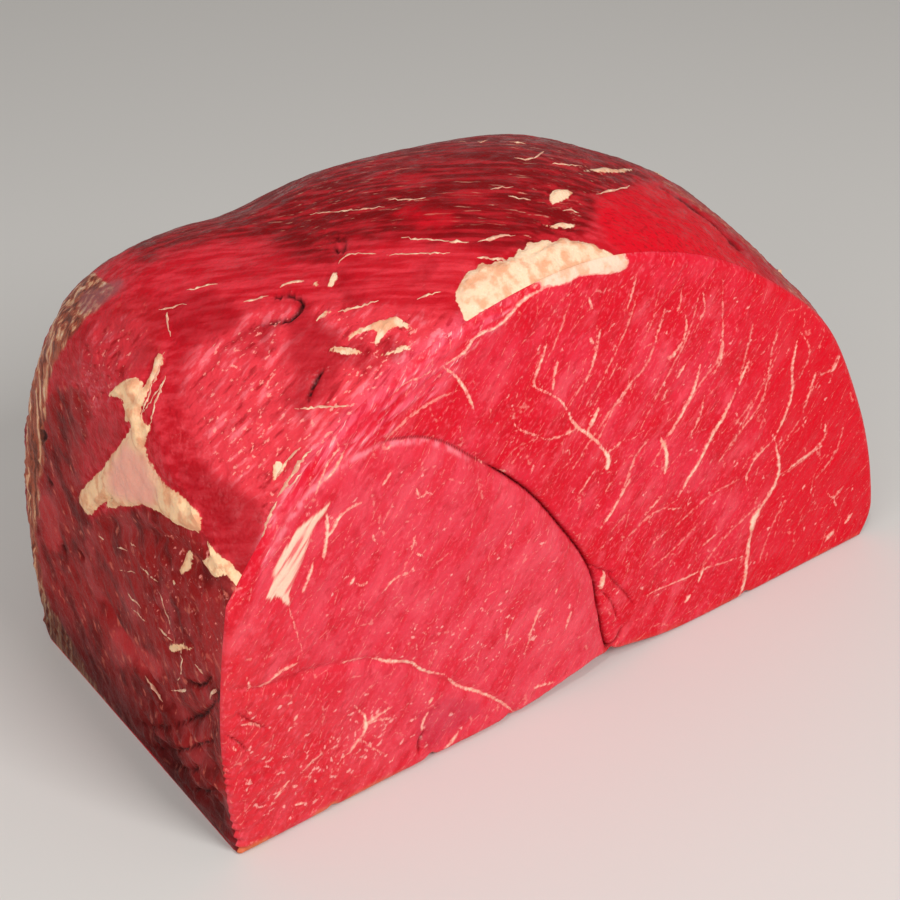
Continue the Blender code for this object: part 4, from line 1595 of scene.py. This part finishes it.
BAND_WHITE = "FFC4C0"
SEAM_SHADOW_RED = "7C060C"
DARKER_PATCH_RED = "A81C3C"
FAT_PINK_AND_GLINT = "F8988C"
BEAD_PINK_AND_GLINT = "FFB4AA"
FAT_CREAM = "FCCFB6"
FAT_WARM = "E8A47E"
EDGE_TAN = "D98A50"

cut_material, tree, surface = new_material("raw beef, freshly cut")
found = measures(tree, CUT_PATTERNS, CUT_FIELDS)
laying = {
    "Vector": add(tree, "TexCoord").outputs["Object"],
    "Rotation": tuple(math.radians(angle) for angle in BUNDLES),
    "Scale": (22 * MM, 6 * MM, 5 * MM),
}
along_bundles = add(tree, "Mapping", laying, vector_type="TEXTURE").outputs[0]
walls = add(tree, "TexVoronoi", {"Vector": along_bundles, "Scale": 1.0}, feature="DISTANCE_TO_EDGE")
nearness = {"From Min": 0.0, "From Max": 0.1, "To Min": 1.0, "To Max": 0.0}
found["wall"] = add(tree, "MapRange", {"Value": walls.outputs["Distance"], **nearness}).outputs["Result"]
ragged = {"Value": found["beads"], "From Min": 0.25, "From Max": 0.75, "To Min": -0.36, "To Max": 0.36}
found["rag"] = add(tree, "MapRange", ragged).outputs["Result"]
CUT_JOINED = (
    ("broken wall", "MULTIPLY", "wall", "beads"),
    ("ragged fat", "ADD", "fat", "rag"),
    ("ragged fine", "ADD", "fine", "rag"),
    ("ragged faint", "ADD", "faint", "rag"),
    ("grain", "ADD", "fibres", "crumbs"),
    ("height", "ADD", "grain", "shreds"),
)
for name, operation, first, second in CUT_JOINED:
    found[name] = add(tree, "Math", {0: found[first], 1: found[second]}, operation=operation).outputs[0]
band_strokes = laid_over(
    tree,
    found,
    BAND_LEAN,
    (
        ("strokes", 0.5, 0.36, 0.9, BAND_DEEP),
        ("strokes", 0.54, 0.68, 0.9, BAND_PALE_AND_CREST_HIGHLIGHT),
        ("fine strokes", 0.58, 0.68, 0.9, BAND_WHITE),
    ),
)
cream = laid_over(tree, found, FAT_CREAM, (("lumps", 0.46, 0.66, 0.7, FAT_WARM),))
streaky = laid_over(
    tree,
    found,
    FAT_CREAM,
    (("strokes", 0.48, 0.34, 0.8, FAT_PINK_AND_GLINT), ("strokes", 0.38, 0.3, 0.6, ROUND_LEAN)),
)

finished = laid_over(
    tree,
    found,
    LEAN_DEEP,
    (
        ("mottle", 0.36, 0.64, 1.0, LEAN_BRIGHT),
        ("round_muscle", 0.0, 1.0, 1.0, ROUND_LEAN),
        ("lower", 0.0, 1.0, 1.0, LOWER_LEAN),
        ("patches", 0.52, 0.36, 0.5, LEAN_DEEP),
        ("patches", 0.52, 0.7, 0.5, LEAN_BLOOM),
        ("shreds", 0.48, 0.3, 0.4, LEAN_SHADE),
        ("fibres", 0.5, 0.7, 0.5, LEAN_BLOOM),
        ("deep", 0.0, 1.0, 0.8, LEAN_PURE),
        ("bruise", 0.0, 1.0, 0.3, DARKER_PATCH_RED),
        ("band", 0.0, 1.0, 0.95, band_strokes),
        # Painted highlight along the lit edge of the round muscle
        ("crest", 0.0, 1.0, 0.75, BAND_PALE_AND_CREST_HIGHLIGHT),
        ("broken wall", 0.42, 0.6, 0.45, FAT_PINK_AND_GLINT),
        ("crumbs", 0.68, 0.74, 0.4, FAT_PINK_AND_GLINT),
        ("ragged faint", -0.2, 0.3, 0.7, FAT_PINK_AND_GLINT),
        # Short pale streaks and beads, some of them painted glints
        ("ragged fine", -0.1, 0.3, 0.7, BEAD_PINK_AND_GLINT),
        # Painted shadow in the seam, its gape and its twigs
        ("seam", 0.0, 1.0, 1.0, SEAM_SHADOW_RED),
        ("low_edge", 0.0, 1.0, 0.6, EDGE_TAN),
        ("ragged fat", -0.3, 0.12, 0.9, FAT_PINK_AND_GLINT),
        ("ragged fat", 0.05, 0.45, 1.0, cream),
        ("wedge", 0.0, 1.0, 1.0, streaky),
    ),
)
wet_flesh(tree, surface, finished, found, 0.35, 0.2)
cut_face.data.materials.append(cut_material)

# %% [markdown]
# The outer side was exposed longer. Lean there is redder on top and turns brown on the trimmed
# end, membrane is dark and glossy, silverskin dries tan, and fat is cream with a warmer tone
# where it is thin. Creases, hollows and the foot of the end are painted dark as shade. Pale flecks
# on torn flesh and streaks on the membrane are partly painted glints, and the end's strands carry
# painted highlights.

# %% Beef that has been open to the air
OUTER_PATTERNS = {
    "mottle": ((0, 0, 0), (13, 13, 13), 5.0),
    "streaks": ((0, 0, -36), (22, 2.2, 2.2), 6.0),
    "thin streaks": ((0, 0, -36), (14, 1.0, 1.0), 4.0),
    "folds": ((0, -34, 0), (9, 2.6, 1.4), 6.0),
    "end patches": ((-40, 0, 0), (14, 8, 12), 3.0),
    "end strands": ((-40, 0, 0), (3, 2, 4), 3.0),
    "skin lines": ((8, 0, 0), (1.8, 1.8, 24), 6.0),
    "crumbs": ((0, 0, 0), (1.2, 1.2, 1.2), 2.0),
    "lumps": ((0, 0, 0), (4, 4, 4), 4.0),
    "wet": ((0, 0, 0), (4.5, 4.5, 4.5), 6.0),
    "flecks": ((0, -34, 0), (2.2, 1.2, 1.2), 3.0),
}
OUTER_FIELDS = (
    "fat", "membrane", "fresh", "rough", "brown", "pink", "silver", "purple", "crease", "end", "dark",
    "pink_fat", "band", "damp",
)
OUTER_LEAN = "C01422"
OUTER_BRIGHT = "DA3440"
OUTER_DEEP = "980814"
TORN_LEAN = "E03844"
TORN_BRIGHT = "F6747E"
TORN_DEEP = "96040F"
MEMBRANE_RED = "7C060C"
MEMBRANE_STREAK_AND_SHEEN = "B81C26"
FRESH_RED = "D80A20"
BROWN_DEEP = "5E0C0A"
BROWN_MEAT = "981C1C"
END_STRAND_HIGHLIGHT = "D8705E"
BROWN_ROSE = "B4484A"
PINK_MEAT = "C43C3E"
SILVER_TAN = "DCA680"
SILVER_PALE = "EED2B4"
SILVER_RED = "A6543E"
SILVER_DARK = "5A2A1E"
PURPLE = "9E5A5E"
PAINTED_CREASE_SHADE = "340606"
OUTER_FAT = "F6D0AE"
OUTER_FAT_WARM = "E49C74"
END_FAT_TONE = "FFCE9E"
FAT_ROSE = "F6AA98"
STRING_TONE_AND_MEMBRANE_GLINT = "DE9C84"

outer_material, tree, surface = new_material("raw beef, outer side")
found = measures(tree, OUTER_PATTERNS, OUTER_FIELDS)
ragged = {"Value": found["crumbs"], "From Min": 0.2, "From Max": 0.8, "To Min": -0.4, "To Max": 0.4}
found["rag"] = add(tree, "MapRange", ragged).outputs["Result"]
OUTER_JOINED = (
    ("ragged fat", "ADD", "fat", "rag"),
    ("torn", "MULTIPLY", "folds", "rough"),
    ("torn fleck and glint", "MULTIPLY", "flecks", "rough"),
    ("membrane glint streak", "MULTIPLY", "thin streaks", "membrane"),
    ("wet", "MULTIPLY", "wet", "damp"),
    ("grain", "ADD", "lumps", "crumbs"),
    ("height", "ADD", "grain", "torn"),
)
for name, operation, first, second in OUTER_JOINED:
    found[name] = add(tree, "Math", {0: found[first], 1: found[second]}, operation=operation).outputs[0]
torn_lean = laid_over(
    tree,
    found,
    TORN_LEAN,
    (("folds", 0.46, 0.32, 0.7, TORN_DEEP), ("folds", 0.52, 0.68, 0.7, TORN_BRIGHT)),
)
fresh_lean = laid_over(tree, found, FRESH_RED, (("thin streaks", 0.5, 0.34, 0.5, OUTER_DEEP),))
# The membrane's lighter streaks are partly its own grain and partly painted sheen
skin = laid_over(tree, found, MEMBRANE_RED, (("streaks", 0.42, 0.68, 1.0, MEMBRANE_STREAK_AND_SHEEN),))
end_meat = laid_over(
    tree,
    found,
    BROWN_MEAT,
    (
        ("end patches", 0.58, 0.32, 0.85, BROWN_DEEP),
        ("mottle", 0.48, 0.68, 0.5, BROWN_ROSE),
        # Painted highlights along the end's strands
        ("end strands", 0.6, 0.7, 0.6, END_STRAND_HIGHLIGHT),
    ),
)
silverskin = laid_over(
    tree,
    found,
    SILVER_RED,
    (
        ("skin lines", 0.48, 0.36, 0.8, SILVER_DARK),
        ("skin lines", 0.5, 0.6, 0.9, SILVER_TAN),
        ("skin lines", 0.62, 0.7, 0.9, SILVER_PALE),
    ),
)
fat = laid_over(
    tree,
    found,
    OUTER_FAT,
    (
        ("end", 0.0, 1.0, 0.8, END_FAT_TONE),
        ("lumps", 0.42, 0.62, 0.8, OUTER_FAT_WARM),
        ("pink_fat", 0.0, 1.0, 0.9, FAT_ROSE),
    ),
)
band_strokes = laid_over(
    tree,
    found,
    BAND_LEAN,
    (("folds", 0.46, 0.34, 0.8, BAND_DEEP), ("folds", 0.54, 0.66, 0.9, BAND_PALE_AND_CREST_HIGHLIGHT)),
)
finished = laid_over(
    tree,
    found,
    OUTER_LEAN,
    (
        ("streaks", 0.38, 0.66, 1.0, OUTER_BRIGHT),
        ("rough", 0.0, 1.0, 1.0, torn_lean),
        ("mottle", 0.52, 0.72, 0.6, OUTER_DEEP),
        ("dark", 0.0, 1.0, 0.5, OUTER_DEEP),
        ("band", 0.0, 1.0, 0.6, band_strokes),
        ("membrane", 0.0, 1.0, 1.0, skin),
        # Whitish streaks on the membrane, painted glints
        ("membrane glint streak", 0.62, 0.72, 0.6, STRING_TONE_AND_MEMBRANE_GLINT),
        ("fresh", 0.0, 1.0, 1.0, fresh_lean),
        ("brown", 0.0, 1.0, 1.0, end_meat),
        ("pink", 0.0, 1.0, 0.6, PINK_MEAT),
        ("silver", 0.0, 1.0, 1.0, silverskin),
        ("purple", 0.0, 1.0, 0.7, PURPLE),
        # Painted shade in creases, hollows and seams, and low on the trimmed end
        ("crease", 0.0, 1.0, 1.0, PAINTED_CREASE_SHADE),
        # Pale flecks on torn flesh: partly fat, partly painted glints
        ("torn fleck and glint", 0.6, 0.68, 0.8, FAT_PINK_AND_GLINT),
        ("ragged fat", -0.2, 0.2, 1.0, fat),
    ),
)
wet_flesh(tree, surface, finished, found, 0.5, 0.4)
rump.data.materials.append(outer_material)

# %% Strings of beef fat
string_material, tree, surface = new_material("beef fat, thin strings")
found = measures(tree, {"lumps": ((0, 0, 0), (2, 2, 2), 3.0), "wet": ((0, 0, 0), (3, 3, 3), 3.0)}, ())
finished = laid_over(tree, found, STRING_TONE_AND_MEMBRANE_GLINT, (("lumps", 0.46, 0.64, 0.9, OUTER_FAT),))
found["height"] = found["lumps"]
wet_flesh(tree, surface, finished, found, 0.5, 0.2)
fat_strings.data.materials.append(string_material)

# %% [markdown]
# ## Floor and light
#
# A photograph of meat is lit softly, so that its wet film glints without glare. A broad lamp in
# front lights the cut, a wide weaker one at the left lights the trimmed end, and a small one high
# at the left gives the glints. A pale room fills in the rest, over a plain pale floor.

# %% Floor, lights and room
FLOOR_SIZE = 3.0
FLOOR_DROP = 0.2 * MM
FLOOR_TONE = "DAD8D4"
FLOOR_ROUGHNESS = 0.8
ROOM_TONE = (1.0, 0.96, 0.93, 1)
ROOM_STRENGTH = 0.34
TARGET = Vector((0, 0, 0.07))
# Each lamp's direction from the joint, its distance and size in metres, and its watts
LAMPS = {
    "key": ((0.1, -0.75, 0.62), 1.2, 0.4, 8.0),
    "fill": ((-0.9, -0.35, 0.5), 1.4, 0.8, 5.0),
    "glint": ((-0.4, -0.42, 0.8), 1.1, 0.06, 1.6),
}

floor_shape = bmesh.new()
bmesh.ops.create_grid(floor_shape, x_segments=2, y_segments=2, size=FLOOR_SIZE / 2)
floor_mesh = bpy.data.meshes.new("floor")
floor_shape.to_mesh(floor_mesh)
floor_shape.free()
floor = bpy.data.objects.new("floor", floor_mesh)
floor.location.z = -FLOOR_DROP
bpy.context.scene.collection.objects.link(floor)
floor_material, tree, surface = new_material("pale matt board")
surface.inputs["Base Color"].default_value = colour(FLOOR_TONE)
surface.inputs["Roughness"].default_value = FLOOR_ROUGHNESS
floor_mesh.materials.append(floor_material)

for name, (direction, distance, size, watts) in LAMPS.items():
    data = bpy.data.lights.new(name, "AREA")
    data.size = size
    data.energy = watts
    lamp = bpy.data.objects.new(name, data)
    way = Vector(direction).normalized()
    lamp.location = TARGET + way * distance
    lamp.rotation_euler = way.to_track_quat("Z", "Y").to_euler()
    bpy.context.scene.collection.objects.link(lamp)
world = bpy.data.worlds.new("pale room")
world.use_nodes = True
room = world.node_tree.nodes["Background"]
room.inputs["Color"].default_value = ROOM_TONE
room.inputs["Strength"].default_value = ROOM_STRENGTH
bpy.context.scene.world = world
bpy.context.scene.view_settings.view_transform = "Standard"
